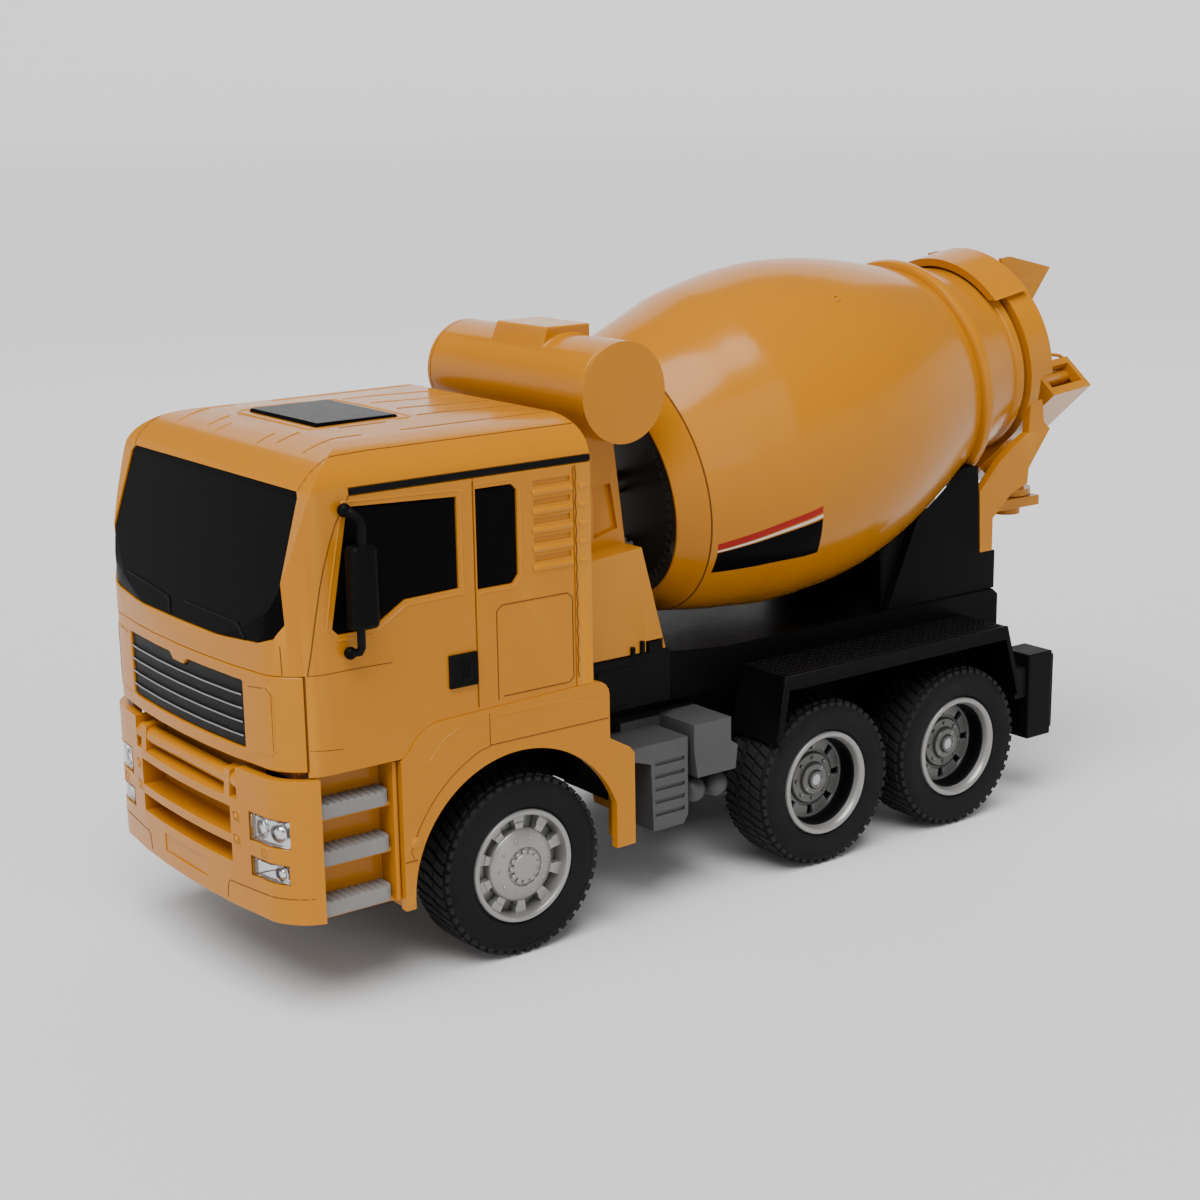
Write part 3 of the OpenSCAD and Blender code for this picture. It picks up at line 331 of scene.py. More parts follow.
scene = bpy.context.scene
cam_data = bpy.data.cameras.new("camera")
cam_data.lens = 64.53
cam_data.sensor_width = 36
cam = bpy.data.objects.new("camera", cam_data)
scene.collection.objects.link(cam)
scene.camera = cam
az, el, roll = math.radians(143.45), math.radians(13.74), math.radians(-0.93)
back = Vector((math.sin(az) * math.cos(el), -math.cos(az) * math.cos(el), math.sin(el)))
cam.location = P(369.41, 601.45, 278.93)
turn = (-back).to_track_quat("-Z", "Y").to_matrix().to_4x4()
cam.matrix_world = Matrix.Translation(cam.location) @ turn @ Matrix.Rotation(roll, 4, "Z")
cam_data.clip_start = 0.01
cam_data.clip_end = 50

# A round stage: flat near the truck, rising smoothly far away all round it
bm = bmesh.new()
STAGE_SIDES = 96
sweep = [(2.0, 0.0), (9.0, 0.0)] + [(9.0 + 5.0 * math.sin(a), 5.0 - 5.0 * math.cos(a))
                                   for a in (math.radians(6 * i) for i in range(1, 15))]
hub = bm.verts.new((0, 0, 0))
rings = [[bm.verts.new((r * math.cos(t), r * math.sin(t), z))
          for t in (2 * math.pi * i / STAGE_SIDES for i in range(STAGE_SIDES))] for r, z in sweep]
for i in range(STAGE_SIDES):
    j = (i + 1) % STAGE_SIDES
    bm.faces.new((hub, rings[0][i], rings[0][j]))
    for a, b in zip(rings, rings[1:]):
        bm.faces.new((a[i], b[i], b[j], a[j]))
for f in bm.faces:
    f.smooth = True
me = bpy.data.meshes.new("floor")
bm.to_mesh(me)
bm.free()
floor = bpy.data.objects.new("floor", me)
scene.collection.objects.link(floor)
fm = bpy.data.materials.new("floor")
fm.use_nodes = True
fb = fm.node_tree.nodes["Principled BSDF"]
fb.inputs["Base Color"].default_value = (0.66, 0.66, 0.66, 1)
fb.inputs["Roughness"].default_value = 0.7
me.materials.append(fm)

world = bpy.data.worlds.new("studio")
scene.world = world
world.use_nodes = True
world.node_tree.nodes["Background"].inputs[0].default_value = (1, 1, 1, 1)
world.node_tree.nodes["Background"].inputs[1].default_value = 0.18


def area(name, loc, target, size, power):
    """Soft box light aimed at a target."""
    d = bpy.data.lights.new(name, "AREA")
    d.shape = "RECTANGLE"
    d.size, d.size_y = size
    d.energy = power
    o = bpy.data.objects.new(name, d)
    scene.collection.objects.link(o)
    o.location = loc
    o.rotation_euler = (Vector(target) - Vector(loc)).to_track_quat("-Z", "Y").to_euler()


sun_data = bpy.data.lights.new("sun", "SUN")
sun_data.energy = 5.2
sun_data.angle = math.radians(50)
sun = bpy.data.objects.new("sun", sun_data)
scene.collection.objects.link(sun)
sun.rotation_euler = Vector((-0.36, -0.26, -1.0)).to_track_quat("-Z", "Y").to_euler()
area("back", (-0.75, -1.15, 0.95), (0, 0, 0.12), (1.7, 0.7), 4)
area("panel", (0.18, 1.7, 0.95), (-0.02, 0, 0.13), (1.0, 1.5), 7)
area("front", (1.35, 0.25, 0.7), (0.15, 0, 0.1), (0.7, 0.7), 2.5)

# ---------- helpers that follow the CAD surface ----------

_trees = {}


def tree(*nodes):
    """Ray target made of CAD nodes at rest."""
    if nodes not in _trees:
        verts, faces = [], []
        for n in nodes:
            me = frame["nodes"][n].data
            base = len(verts)
            verts += [v.co.copy() for v in me.vertices]
            faces += [[base + i for i in p.vertices] for p in me.polygons]
        _trees[nodes] = BVHTree.FromPolygons(verts, faces)
    return _trees[nodes]


def lay(points, toward, nodes, step=2.0, lift=0.0, closed=False):
    """Drops a polyline on the surface of CAD nodes, along one direction; returns front-axle millimetres."""
    t = tree(*nodes)
    d = Vector(toward).normalized()
    pts = [Vector(p) for p in points]
    if closed:
        pts.append(pts[0])
    out = []
    for a, b in zip(pts, pts[1:]):
        n = max(1, int((b - a).length / step))
        for i in range(n):
            out.append(a.lerp(b, i / n))
    if not closed:
        out.append(pts[-1])
    laid = []
    for p in out:
        start = P(*p) - d * 0.3
        hit = t.ray_cast(start, d)
        if hit[0] is not None:
            q = (hit[0] - ORIGIN) / MM - d * lift
            laid.append((q.x, q.y, q.z))
    return laid


def line(name, points, toward, nodes, radius, slot, body="truck", lift=0.0, closed=False, step=2.0):
    """Thin raised or sunk line laid on CAD nodes."""
    pts = lay(points, toward, nodes, step, lift, closed)
    if closed:
        pts.append(pts[0])
    if len(pts) > 1:
        return tube(name, pts, radius, body, slot, res=2)


def mirrored(points, side):
    """Points drawn for the left side, moved to the side asked for."""
    return [(x, y * side, z) for x, y, z in points]


def wedge(bm, m, a0, a1, r0, r1, h0, h1, skew=0.0, cuts=1):
    """Curved block in the frame m, between two angles, radii and heights; skew turns its top end."""
    rows = []
    for k in range(cuts + 1):
        t = k / cuts
        row = []
        for r, h, s in ((r0, h0, 0), (r1, h0, 0), (r1, h1, skew), (r0, h1, skew)):
            a = a0 + (a1 - a0) * t + s
            row.append(bm.verts.new(m @ Vector((r * math.cos(a), r * math.sin(a), h))))
        rows.append(row)
    for a, b in zip(rows, rows[1:]):
        for i in range(4):
            j = (i + 1) % 4
            bm.faces.new((a[i], a[j], b[j], b[i]))
    bm.faces.new(rows[0][::-1])
    bm.faces.new(rows[-1])


def axis_frame(origin, z_dir, x_dir=(1, 0, 0)):
    """Frame at an origin whose local Z points along z_dir."""
    z = Vector(z_dir).normalized()
    x = Vector(x_dir)
    x = (x - z * x.dot(z)).normalized()
    y = z.cross(x)
    m = Matrix((x, y, z)).transposed().to_4x4()
    m.translation = Vector(origin)
    return m


# ---------- carried-over CAD nodes ----------

for name, ob in frame["nodes"].items():
    ob.data.materials.clear()
    ob.data.materials.append(MATS[NODE_SLOT[name]])

PLAIN = {"battery_cells", "circuit_board", "drive_motor", "drum_motor", "drum_pinion", "rear_axle_gear",
         "drive_pinion", "kingpins", "mid_axle_shaft", "rear_axle_shaft", "servo_arm"}
REDONE = {"front_tyre_left", "front_tyre_right", "mid_tyres", "rear_tyres", "front_rim_left",
          "front_rim_right", "mid_rims", "rear_rims", "drum_shell", "drum_flange", "mirrors"}
LATER = {"rear_pedestal"}      # follows the drum's surface, so it waits for the drum
# The ring gear takes gear_black, whose lighter tooth edges are a painted highlight
LOOK = {"step_treads": "light_grey_plastic", "grille": "grille_mesh", "side_boxes": "box_grey",
        "ring_gear": "gear_black"}
SOFT = {"cab_body": 0.4, "cab_roof": 0.8, "tank_caps": 0.7, "water_tank": 0.6, "roof_hatch": 0.7,
        "ring_gear": 0.25, "front_bumper": 0.9, "rear_pedestal": 0.7, "side_boxes": 0.6, "chute": 1.1}
for name in sorted(frame["nodes"]):
    if name not in PLAIN | REDONE | LATER:
        dress(name, SOFT.get(name, 0.45))

# ---------- wheels ----------
# Profiles are (radius, distance from the truck's middle plane).


def tyre(name, x, side, width, node, body):
    """Tyre with a rounded wall, two rings on it and rows of slanted tread blocks."""
    bm = bmesh.new()
    m = along_y(x, 0, AXLE_Z, side)
    y0, y1 = WHEEL_OUT_Y - width, WHEEL_OUT_Y
    prof = [(19.0, y1 - 1.9), (19.6, y1 - 0.9), (20.6, y1 - 0.55), (22.0, y1 - 0.4), (24.0, y1 - 0.05),
            (26.0, y1), (27.6, y1 - 0.25), (28.6, y1 - 0.9), (29.2, y1 - 2.0), (29.7, y1 - 3.4),
            (29.9, y1 - 6)]
    prof = prof + [(r, y0 + y1 - h) for r, h in reversed(prof)]
    lathe(bm, prof, m, 128, closed=True)
    for r, w in ((24.9, 0.16), (27.2, 0.2)):
        ridge = [(r - w, y1 - 0.3), (r - w * 0.6, y1), (r + w * 0.6, y1 - 0.05), (r + w, y1 - 0.4)]
        lathe(bm, ridge, m, 96)
    count = 48
    pitch = 2 * math.pi / count
    rows = [(y1 - 7.6, y1 - 3.0, 0.0, 30.4), (y1 - 13.0, y1 - 8.2, 0.5, 30.5),
            (y0 + 3.0, y0 + 7.6, 0.25, 30.4)]
    if width == REAR_TYRE_W:
        rows.append((y0 + 8.2, y1 - 13.6, 0.75, 30.5))
    for h0, h1, shift, r in rows:
        for i in range(count):
            a = (i + shift) * pitch
            wedge(bm, m, a, a + pitch * 0.74, 29.0, r, h0, h1, skew=pitch * 0.42)
    for i in range(count):
        for h0, h1 in ((y1 - 1.75, y1 - 0.75), (y0 + 0.75, y0 + 1.75)):
            a = i * pitch
            wedge(bm, m, a, a + pitch * 0.62, 28.0, 29.75, h0, h1)
    ob = put(name, bm, body, "tyre_rubber", bevel=0.12, segments=1, angle=40)
    if node:
        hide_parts(*node)
    return ob


def front_rim(name, side, node, body):
    """Ring, ten pads round a domed hub with nuts, and a dark disc behind."""
    bm = bmesh.new()
    m = along_y(0, 0, AXLE_Z, side)
    ring = [(19.0, 58.3), (19.0, 59.2), (18.7, 59.75), (18.2, 59.95), (17.6, 59.85), (17.15, 59.5),
            (16.9, 58.7), (16.6, 57.6), (16.5, 52.0), (17.2, 52.0), (17.6, 56.5), (18.2, 58.0)]
    lathe(bm, ring, m, 128, closed=True)
    inner = [(16.6, 52.4), (16.4, 53.4), (12.2, 54.2), (12.0, 50.6), (6.0, 50.6), (6.0, 42.0), (7.0, 42.0),
             (7.0, 49.0), (16.6, 49.0)]
    lathe(bm, inner, m, 96, closed=True)
    hub = [(12.2, 54.0), (12.5, 56.4), (12.3, 57.6), (11.6, 58.35), (10.0, 59.1), (8.0, 59.75), (6.6, 60.1),
           (6.4, 59.5), (6.0, 59.35), (5.6, 59.4), (4.4, 59.45), (0, 59.5)]
    lathe(bm, hub, m, 96)
    for i in range(10):
        a = 2 * math.pi * (i + 0.5) / 10
        for k, (r0, r1, h0, h1) in enumerate(((11.8, 14.4, 54.6, 57.5), (14.2, 17.0, 54.0, 57.2))):
            wedge(bm, m, a - 0.115 - 0.012 * k, a + 0.115 + 0.012 * k, r0, r1, h0, h1, cuts=3)
        b = 2 * math.pi * i / 10
        f = m @ Matrix.Rotation(b, 4, "Z") @ Matrix.Translation((9.3, 0, 59.2))
        lathe(bm, [(0.72, -0.4), (0.72, 0.3), (0.5, 0.55), (0, 0.62)], f, 6)
    for i in range(12):
        f = m @ Matrix.Rotation(2 * math.pi * i / 12, 4, "Z") @ Matrix.Translation((4.9, 0, 59.3))
        lathe(bm, [(1.0, 0.0), (0.95, 0.9), (0.75, 1.2), (0, 1.3)], f, 10)
    lathe(bm, [(4.6, 59.4), (4.5, 60.5), (4.2, 60.75), (2.0, 60.85), (0, 60.85)], m, 48)
    ob = put(name, bm, body, "silver_plastic", bevel=0.14, segments=2, angle=34)
    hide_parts(node)
    bm = bmesh.new()
    lathe(bm, [(2.8, 53.2), (16.2, 53.2), (16.2, 52.6), (2.8, 52.6)], m, 64, closed=True)
    put(name + "_back", bm, body, "black_plastic")


def rear_rim(name, x, side, body):
    """Deep bright ring round a darker disc with eight windows and nuts."""
    bm = bmesh.new()
    m = along_y(x, 0, AXLE_Z, side)
    ring = [(19.0, 58.0), (19.0, 59.2), (18.75, 59.75), (18.3, 59.95), (17.4, 59.85), (16.9, 59.4),
            (16.5, 58.5), (15.9, 56.4), (15.5, 53.6), (15.3, 51.0), (15.3, 48.6), (16.6, 48.6),
            (16.9, 53.5), (17.6, 57.4)]
    lathe(bm, ring, m, 128, closed=True)
    ob = put(name, bm, body, "silver_plastic", bevel=0.14, segments=2, angle=34)
    bm = bmesh.new()
    lathe(bm, [(15.6, 49.6), (15.4, 50.9), (14.6, 51.1), (14.1, 50.9), (14.0, 49.6)], m, 96, closed=True)
    lathe(bm, [(10.9, 49.3), (10.8, 50.4), (10.2, 50.6), (9.6, 50.6), (9.4, 51.6), (9.0, 52.0), (6.2, 52.2),
               (5.8, 53.6), (5.4, 53.9), (3.6, 53.9), (3.3, 53.5), (3.2, 49.3)], m, 96, closed=True)
    for i in range(8):
        a = 2 * math.pi * (i + 0.5) / 8
        wedge(bm, m, a - 0.29, a + 0.29, 10.5, 14.4, 49.4, 50.95, cuts=5)
        f = m @ Matrix.Rotation(2 * math.pi * i / 8, 4, "Z") @ Matrix.Translation((7.6, 0, 51.9))
        lathe(bm, [(0.75, -0.3), (0.75, 0.7), (0.5, 0.95), (0, 1.0)], f, 6)
    cap = [(3.2, 54.6), (3.0, 55.0), (2.2, 55.0), (2.0, 54.5), (2.0, 52.0), (3.2, 52.0)]
    lathe(bm, cap, m, 32, closed=True)
    put(name + "_disc", bm, body, "rim_dark", bevel=0.14, segments=2, angle=34)
    bm = bmesh.new()
    lathe(bm, [(0, 48.9), (15.2, 48.9), (15.2, 48.3), (0, 48.3)], m, 64)
    lathe(bm, [(16.2, 57.2), (15.6, 56.6), (15.15, 53.6), (15.0, 51.2), (15.6, 51.0), (16.0, 55.0)], m, 96,
          closed=True)
    put(name + "_back", bm, body, "black_plastic")
    return ob


for side, word in SIDES:
    wheel = "front_wheel_" + word
    tyre("tyre_front_" + word, 0, side, FRONT_TYRE_W, ["front_tyre_" + word], wheel)
    front_rim("rim_front_" + word, side, "front_rim_" + word, wheel)
for axle, x, body in (("mid", MID_X, "middle_axle"), ("rear", REAR_X, "rear_axle")):
    for side, word in SIDES:
        t = tyre(f"tyre_{axle}_{word}", x, side, REAR_TYRE_W, None, body)
        r = rear_rim(f"rim_{axle}_{word}", x, side, body)
        if side > 0:
            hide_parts(axle + "_tyres")
            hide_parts(axle + "_rims")

# ---------- drum ----------

DRUM_AXIS = Vector((-math.cos(DRUM_TILT), 0, math.sin(DRUM_TILT)))
DRUM = axis_frame(DRUM_FOOT, DRUM_AXIS, (0, 1, 0))
DRUM_STEPS = 160


def smooth_profile(points, per=5):
    """Catmull-Rom curve through profile points."""
    out = []
    pts = [points[0]] + points + [points[-1]]
    for i in range(1, len(pts) - 2):
        p0, p1, p2, p3 = (Vector(p) for p in pts[i - 1:i + 3])
        for k in range(per):
            t = k / per
            q = 0.5 * ((2 * p1) + (p2 - p0) * t + (2 * p0 - 5 * p1 + 4 * p2 - p3) * t * t
                       + (3 * p1 - p0 - 3 * p2 + p3) * t ** 3)
            out.append((q.x, q.y))
    out.append(tuple(points[-1]))
    return out


# The belly's outside as (radius, distance along the drum's axis)
BELLY = smooth_profile([(49, 28.1), (51.6, 36), (54.2, 45), (56.4, 54), (58.45, 62), (59.6, 67.5), (60.6, 77),
                        (61.3, 88), (61.35, 97), (60.7, 107), (58.6, 120), (55.4, 132.5), (51.4, 145),
                        (47.6, 155.5), (43.6, 166)], 3)


def drum_shell():
    """Turned shell: belly, ridge, neck and mouth outside, the plain hollow inside."""
    bm = bmesh.new()
    ridge = [(45.2, 166.4), (45.9, 167.0), (46.2, 168.0), (46.2, 169.4), (45.9, 170.3), (45.2, 170.8)]
    neck = [(43.1, 171.4), (39.9, 182), (36.95, 192.6), (37.3, 193.2), (37.55, 194.0), (37.55, 196.0),
            (37.2, 196.6), (35.0, 197.0)]
    mouth = [(33.95, 197.4), (33.95, 204.0), (33.6, 204.5), (32.0, 204.5), (31.7, 204.2)]
    outer = [(47.2, 27.85), (48.7, 27.85)] + BELLY + ridge + neck + mouth
    inner = [(31.8, 197), (34.4, 192), (40.0, 172), (41.8, 166), (49.6, 145), (56.8, 120), (59.5, 95),
             (58.0, 70), (52.4, 45), (47.2, 28.6)]
    lathe(bm, outer + inner, DRUM, DRUM_STEPS, closed=True)
    shell = put("drum_body", bm, "drum", "yellow_plastic", angle=30)
    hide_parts("drum_shell")


def drum_front_ring():
    """Flange that closes the front of the drum round the ring gear."""
    bm = bmesh.new()
    flange = [(40.3, 26.1), (40.3, 19.0), (40.6, 18.65), (41.3, 18.65), (41.7, 19.1), (42.9, 20.9),
              (45.4, 24.4), (48.3, 27.2), (48.6, 27.5), (48.4, 27.75), (42.6, 27.75), (42.6, 26.1)]
    lathe(bm, flange, DRUM, DRUM_STEPS, closed=True)
    ring = put("drum_front_ring", bm, "drum", "yellow_plastic", angle=40)
    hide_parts("drum_flange")


def drum_r(h):
    """Radius of the drum's outside at a distance along its axis."""
    pts = [(q, r) for r, q in BELLY]
    for (h0, r0), (h1, r1) in zip(pts, pts[1:]):
        if h0 <= h <= h1:
            return r0 + (r1 - r0) * (h - h0) / max(1e-9, h1 - h0)
    return pts[0][1] if h < pts[0][0] else pts[-1][1]


def reach_drum(bm):
    """Brings the pedestal's edge that follows the drum to 0.4 mm from its surface."""
    foot = P(*DRUM_FOOT)
    keep, reach = 0.4, 1.7
    belly_end = BELLY[-1][1]
    for v in bm.verts:
        along = (v.co - foot).dot(DRUM_AXIS)
        out = v.co - foot - DRUM_AXIS * along
        gap = out.length / MM - drum_r(along / MM)
        if 20 < along / MM < belly_end and keep < gap < reach:
            v.co -= out.normalized() * (gap - keep) * MM


def drum_patch(name, corners, slot, lift, side=1, across=14, down=4):
    """Printed film on the drum: corners are (axial mm, degrees round the drum), front top first."""
    (h00, a00), (h01, a01), (h11, a11), (h10, a10) = corners
    bm = bmesh.new()
    layers = []
    for k in (lift, -0.25):
        grid = []
        for i in range(down + 1):
            v = i / down
            row = []
            for j in range(across + 1):
                u = j / across
                h = (h00 * (1 - u) + h01 * u) * (1 - v) + (h10 * (1 - u) + h11 * u) * v
                a = math.radians((a00 * (1 - u) + a01 * u) * (1 - v) + (a10 * (1 - u) + a11 * u) * v)
                if side < 0:
                    a = math.pi - a
                r = drum_r(h) + k
                row.append(bm.verts.new(DRUM @ Vector((r * math.cos(a), r * math.sin(a), h))))
            grid.append(row)
        layers.append(grid)
    for grid in layers:
        for i in range(down):
            for j in range(across):
                bm.faces.new((grid[i][j], grid[i][j + 1], grid[i + 1][j + 1], grid[i + 1][j]))
    top, low = layers
    loop = [(0, j) for j in range(across)] + [(i, across) for i in range(down)]
    loop += [(down, j) for j in range(across, 0, -1)] + [(i, 0) for i in range(down, 0, -1)]
    for (i, j), (p, q) in zip(loop, loop[1:] + loop[:1]):
        bm.faces.new((top[i][j], top[p][q], low[p][q], low[i][j]))
    return put(name, bm, "drum", slot, angle=40)


def drum_print(side, word):
    """Black block with a white line and a red stripe above it, on one side of the drum."""
    drum_patch("print_block_" + word, [(30.5, 24.6), (69.6, 18.2), (70.5, 32.8), (30.0, 35.1)], "gloss_black",
               0.10, side)
    drum_patch("print_line_" + word, [(30.4, 23.5), (69.5, 16.4), (69.6, 17.4), (30.5, 24.1)], "print_white",
               0.09, side, down=1)
    drum_patch("print_stripe_" + word, [(30.2, 20.2), (69.2, 13.2), (69.4, 15.6), (30.4, 23.2)], "print_red",
               0.10, side, down=2)


def drum_bosses():
    """Two round bosses with their screws, opposite each other on the belly."""
    along = 106.4
    bm = bmesh.new()
    for turn in (-54, 126):
        a = math.radians(turn)
        r = drum_r(along)
        out = (DRUM.to_3x3() @ Vector((math.cos(a), math.sin(a), 0))).normalized()
        at = DRUM @ Vector((r * math.cos(a), r * math.sin(a), along))
        f = axis_frame(at, out, (0.3, 0.2, 1))
        lathe(bm, [(1.7, -0.6), (1.7, 0.1), (1.45, 0.45), (0.9, 0.55), (0.75, 0.1), (0, 0.05)], f, 24)
    put("drum_boss", bm, "drum", "yellow_plastic", angle=40)


def drum_seam():
    """Parting line where the flange meets the belly."""
    bm = bmesh.new()
    bead = [(48.85, 27.55), (49.0, 27.75), (48.95, 28.0), (48.5, 28.05), (48.4, 27.5)]
    lathe(bm, bead, DRUM, DRUM_STEPS, closed=True)
    put("drum_seam", bm, "drum", "joint_and_shade_dark")


drum_shell()
drum_front_ring()
dress("rear_pedestal", SOFT["rear_pedestal"])
for side, word in SIDES:
    drum_print(side, word)
drum_bosses()
drum_seam()

# ---------- cab ----------

SHELL = ("cab_body", "cab_roof", "cab_front_panel")
BUMPER = ("front_bumper",)
FENDER = ("front_fenders",)


def seams_on(side, word):
    """Line drawer for one side of the truck; its points are those of the left side."""
    inward = (0, -side, 0)

    def seam(name, pts, toward=inward, nodes=SHELL, r=0.2, slot="joint_and_shade_dark", closed=False, step=2.0,
             lift=-0.02):
        line(f"{name}_{word}", mirrored(pts, side), toward, nodes, r, slot, closed=closed, step=step,
             lift=lift)

    return seam


def cab_parting_lines(side, word):
    """Parting lines, painted shade along the door creases, and the locker door on one side of the cab."""
    seam = seams_on(side, word)
    seam("seam_shoulder", [(73.0, 55.0, 0), (71.0, 55.6, 0), (66, 55.4, 0), (60, 54.6, 0), (48, 54.0, 0),
                           (20, 54.0, 0), (-26.6, 54.0, 0)], DOWN)
    seam("seam_pillar", [(60.6, 0, 160.9), (61.6, 0, 158.6), (65.4, 0, 153.1), (67.6, 0, 147.5),
                         (69.8, 0, 141.0), (71.6, 0, 134), (73.0, 0, 126.7), (74.8, 0, 116),
                         (76.2, 0, 108.4)])
    seam("seam_front_edge", [(76.95, 0, 108.2), (76.95, 0, 79)])
    # Dark lines in the door creases: painted shade
    seam("crease_shade_door_high", [(76.2, 0, 108.3), (62, 0, 108.3), (48, 0, 108.0)], r=0.14)
    seam("crease_shade_door_low", [(76.3, 0, 85.3), (66, 0, 84.4)], r=0.12)
    seam("seam_door_rear", [(17.4, 0, 160.4), (17.4, 0, 88.6)])
    zigzag = [(-21.0 - (0.35 if k % 2 else -0.1), 0, 160 - 3 * k) for k in range(24)]
    seam("seam_corner", zigzag, step=9, r=0.24)
    seam("seam_locker", [(9.9, 0, 89), (9.9, 0, 117.4), (8.1, 0, 119.3), (-17.3, 0, 119.3), (-19.2, 0, 117.5),
                         (-19.2, 0, 91.5), (-17.4, 0, 89.9), (8, 0, 89.9)], r=0.2)


def window_frames(side, word):
    """Raised frames round the door window and the quarter window."""
    seam = seams_on(side, word)
    seam("frame_door_window", [(21.9, 0, 157.4), (21.9, 0, 125.3), (42.2, 0, 124.8), (54.0, 0, 117.7),
                               (66.8, 0, 117.7), (69.9, 0, 121.0), (68.2, 0, 132), (62.9, 0, 159.0)], r=0.5,
         slot="yellow_plastic", closed=True, lift=-0.25)
    seam("frame_quarter_window", [(17.0, 0, 158.4), (2.9, 0, 158.4), (0.0, 0, 155.5), (0.0, 0, 127.2),
                                  (2.7, 0, 124.2), (17.0, 0, 124.2)], r=0.45, slot="yellow_plastic",
         lift=-0.25)


def louvres(side, word):
    """Louvres between the grooves, carried round the rear corner."""
    for k in range(5):
        z = 129 + 6 * k
        slat = [(-4.6, 61.55, z), (-6, 61.75, z), (-18.6, 61.75, z), (-19.6, 61.6, z)]
        corner = [(-22.3, 61.6, z), (-25.6, 61.5, z)]
        tube(f"louvre_{k}_{word}", mirrored(slat, side), 1.45, "truck", "yellow_plastic", res=5)
        tube(f"louvre_corner_{k}_{word}", mirrored(corner, side), 1.35, "truck", "yellow_plastic", res=5)


def roof_ribs(side, word):
    """Ribs pressed in the roof and the frame round the hatch."""
    seam = seams_on(side, word)
    for k, pts in enumerate((((58, 14), (64.5, 14)), ((54, 22.8), (62, 22.8)), ((43, 41), (63.5, 41.3)),
                             ((26, 27.5), (43, 27.5)), ((10, 8), (-25.5, 8)), ((12, 23), (-25.5, 23)),
                             ((29, 41), (-25.5, 41)))):
        seam(f"roof_rib_{k}", [(x, y, 0) for x, y in pts], DOWN, r=0.32, slot="yellow_plastic", lift=-0.12)
        seam(f"roof_rib_shadow_{k}", [(x, y + 0.45, 0) for x, y in pts], DOWN, r=0.13, lift=-0.02)
    seam("roof_frame", [(50.8, 0, 0), (50.8, 23.5, 0), (48.5, 25.4, 0), (45.5, 25.4, 0)], DOWN, r=0.42,
         slot="yellow_plastic", lift=-0.15)
    seam("roof_frame_rear", [(14.8, 0, 0), (14.8, 23.5, 0), (17, 25.4, 0), (21, 25.4, 0)], DOWN, r=0.42,
         slot="yellow_plastic", lift=-0.15)


def cab_front_lines(side, word):
    """Joint under the windshield and the pressed panels beside the grille."""
    seam = seams_on(side, word)
    seam("seam_front", [(0, 0, 108.35), (0, 30, 108.35), (0, 56, 108.35), (0, 60.5, 108.35)], BACK, r=0.2)
    seam("seam_screen_corner", [(0, 56.2, 117.5), (0, 56.4, 108.6)], BACK, r=0.16)
    seam("vent_panel", [(0, 41.5, 103.6), (0, 51.5, 104.6), (0, 53.4, 102.6), (0, 53.4, 84.6),
                        (0, 51.4, 83.2), (0, 41.5, 83.0)], BACK, r=0.3, slot="yellow_plastic", lift=-0.1)
    seam("vent_panel_shadow", [(0, 42.0, 103.0), (0, 51.1, 104.0), (0, 52.8, 102.4), (0, 52.8, 85.0)],
         BACK, r=0.11)


def square(y, z, half, inset=0.0):
    """Corners of an upright square seen from the front, drawn in by an inset."""
    return [(0, y - half + inset, z - half + inset), (0, y + half - inset, z - half + inset),
            (0, y + half - inset, z + half - inset), (0, y - half + inset, z + half - inset)]


def bumper_lines(side, word):
    """Joint, lamp rims and small bosses of the bumper."""
    seam = seams_on(side, word)
    seam("seam_bumper", [(0, 27, 32.4), (0, 27.6, 37.0), (0, 29, 38.4), (0, 45, 38.8), (0, 56, 39.2),
                         (0, 62, 39.3)], BACK, nodes=BUMPER, r=0.17)
    seam("lamp_rim_high", [(0, 41.2, 54.7), (0, 57.7, 54.7), (0, 57.7, 63.8), (0, 41.2, 63.8)], BACK,
         nodes=("front_bumper", "headlamp_lenses"), r=0.17, closed=True)
    seam("lamp_rim_low", [(0, 41.2, 43.4), (0, 57.2, 43.4), (0, 57.2, 49.7), (0, 41.2, 49.7)], BACK,
         nodes=("front_bumper", "headlamp_lenses"), r=0.17, closed=True)
    for k, (y, z, half) in enumerate(((34.2, 60.6, 1.7), (34.0, 53.2, 1.7), (48.4, 52.2, 1.6))):
        seam(f"boss_frame_{k}", square(y, z, half), BACK, nodes=BUMPER, r=0.22, closed=True,
             slot="yellow_plastic", lift=-0.05)
        seam(f"boss_frame_shadow_{k}", square(y, z, half, 0.5), BACK, nodes=BUMPER, r=0.09, closed=True)
        hit = lay([(0, y * side, z)], BACK, BUMPER)
        if hit and k < 2:
            bm = bmesh.new()
            pin = axis_frame(hit[0], (1, 0, 0), (0, 1, 0))
            lathe(bm, [(0.8, -0.4), (0.8, 0.15), (0.6, 0.35), (0, 0.4)], pin, 20)
            put(f"boss_pin_{k}_{word}", bm, "truck", "yellow_plastic", angle=40)


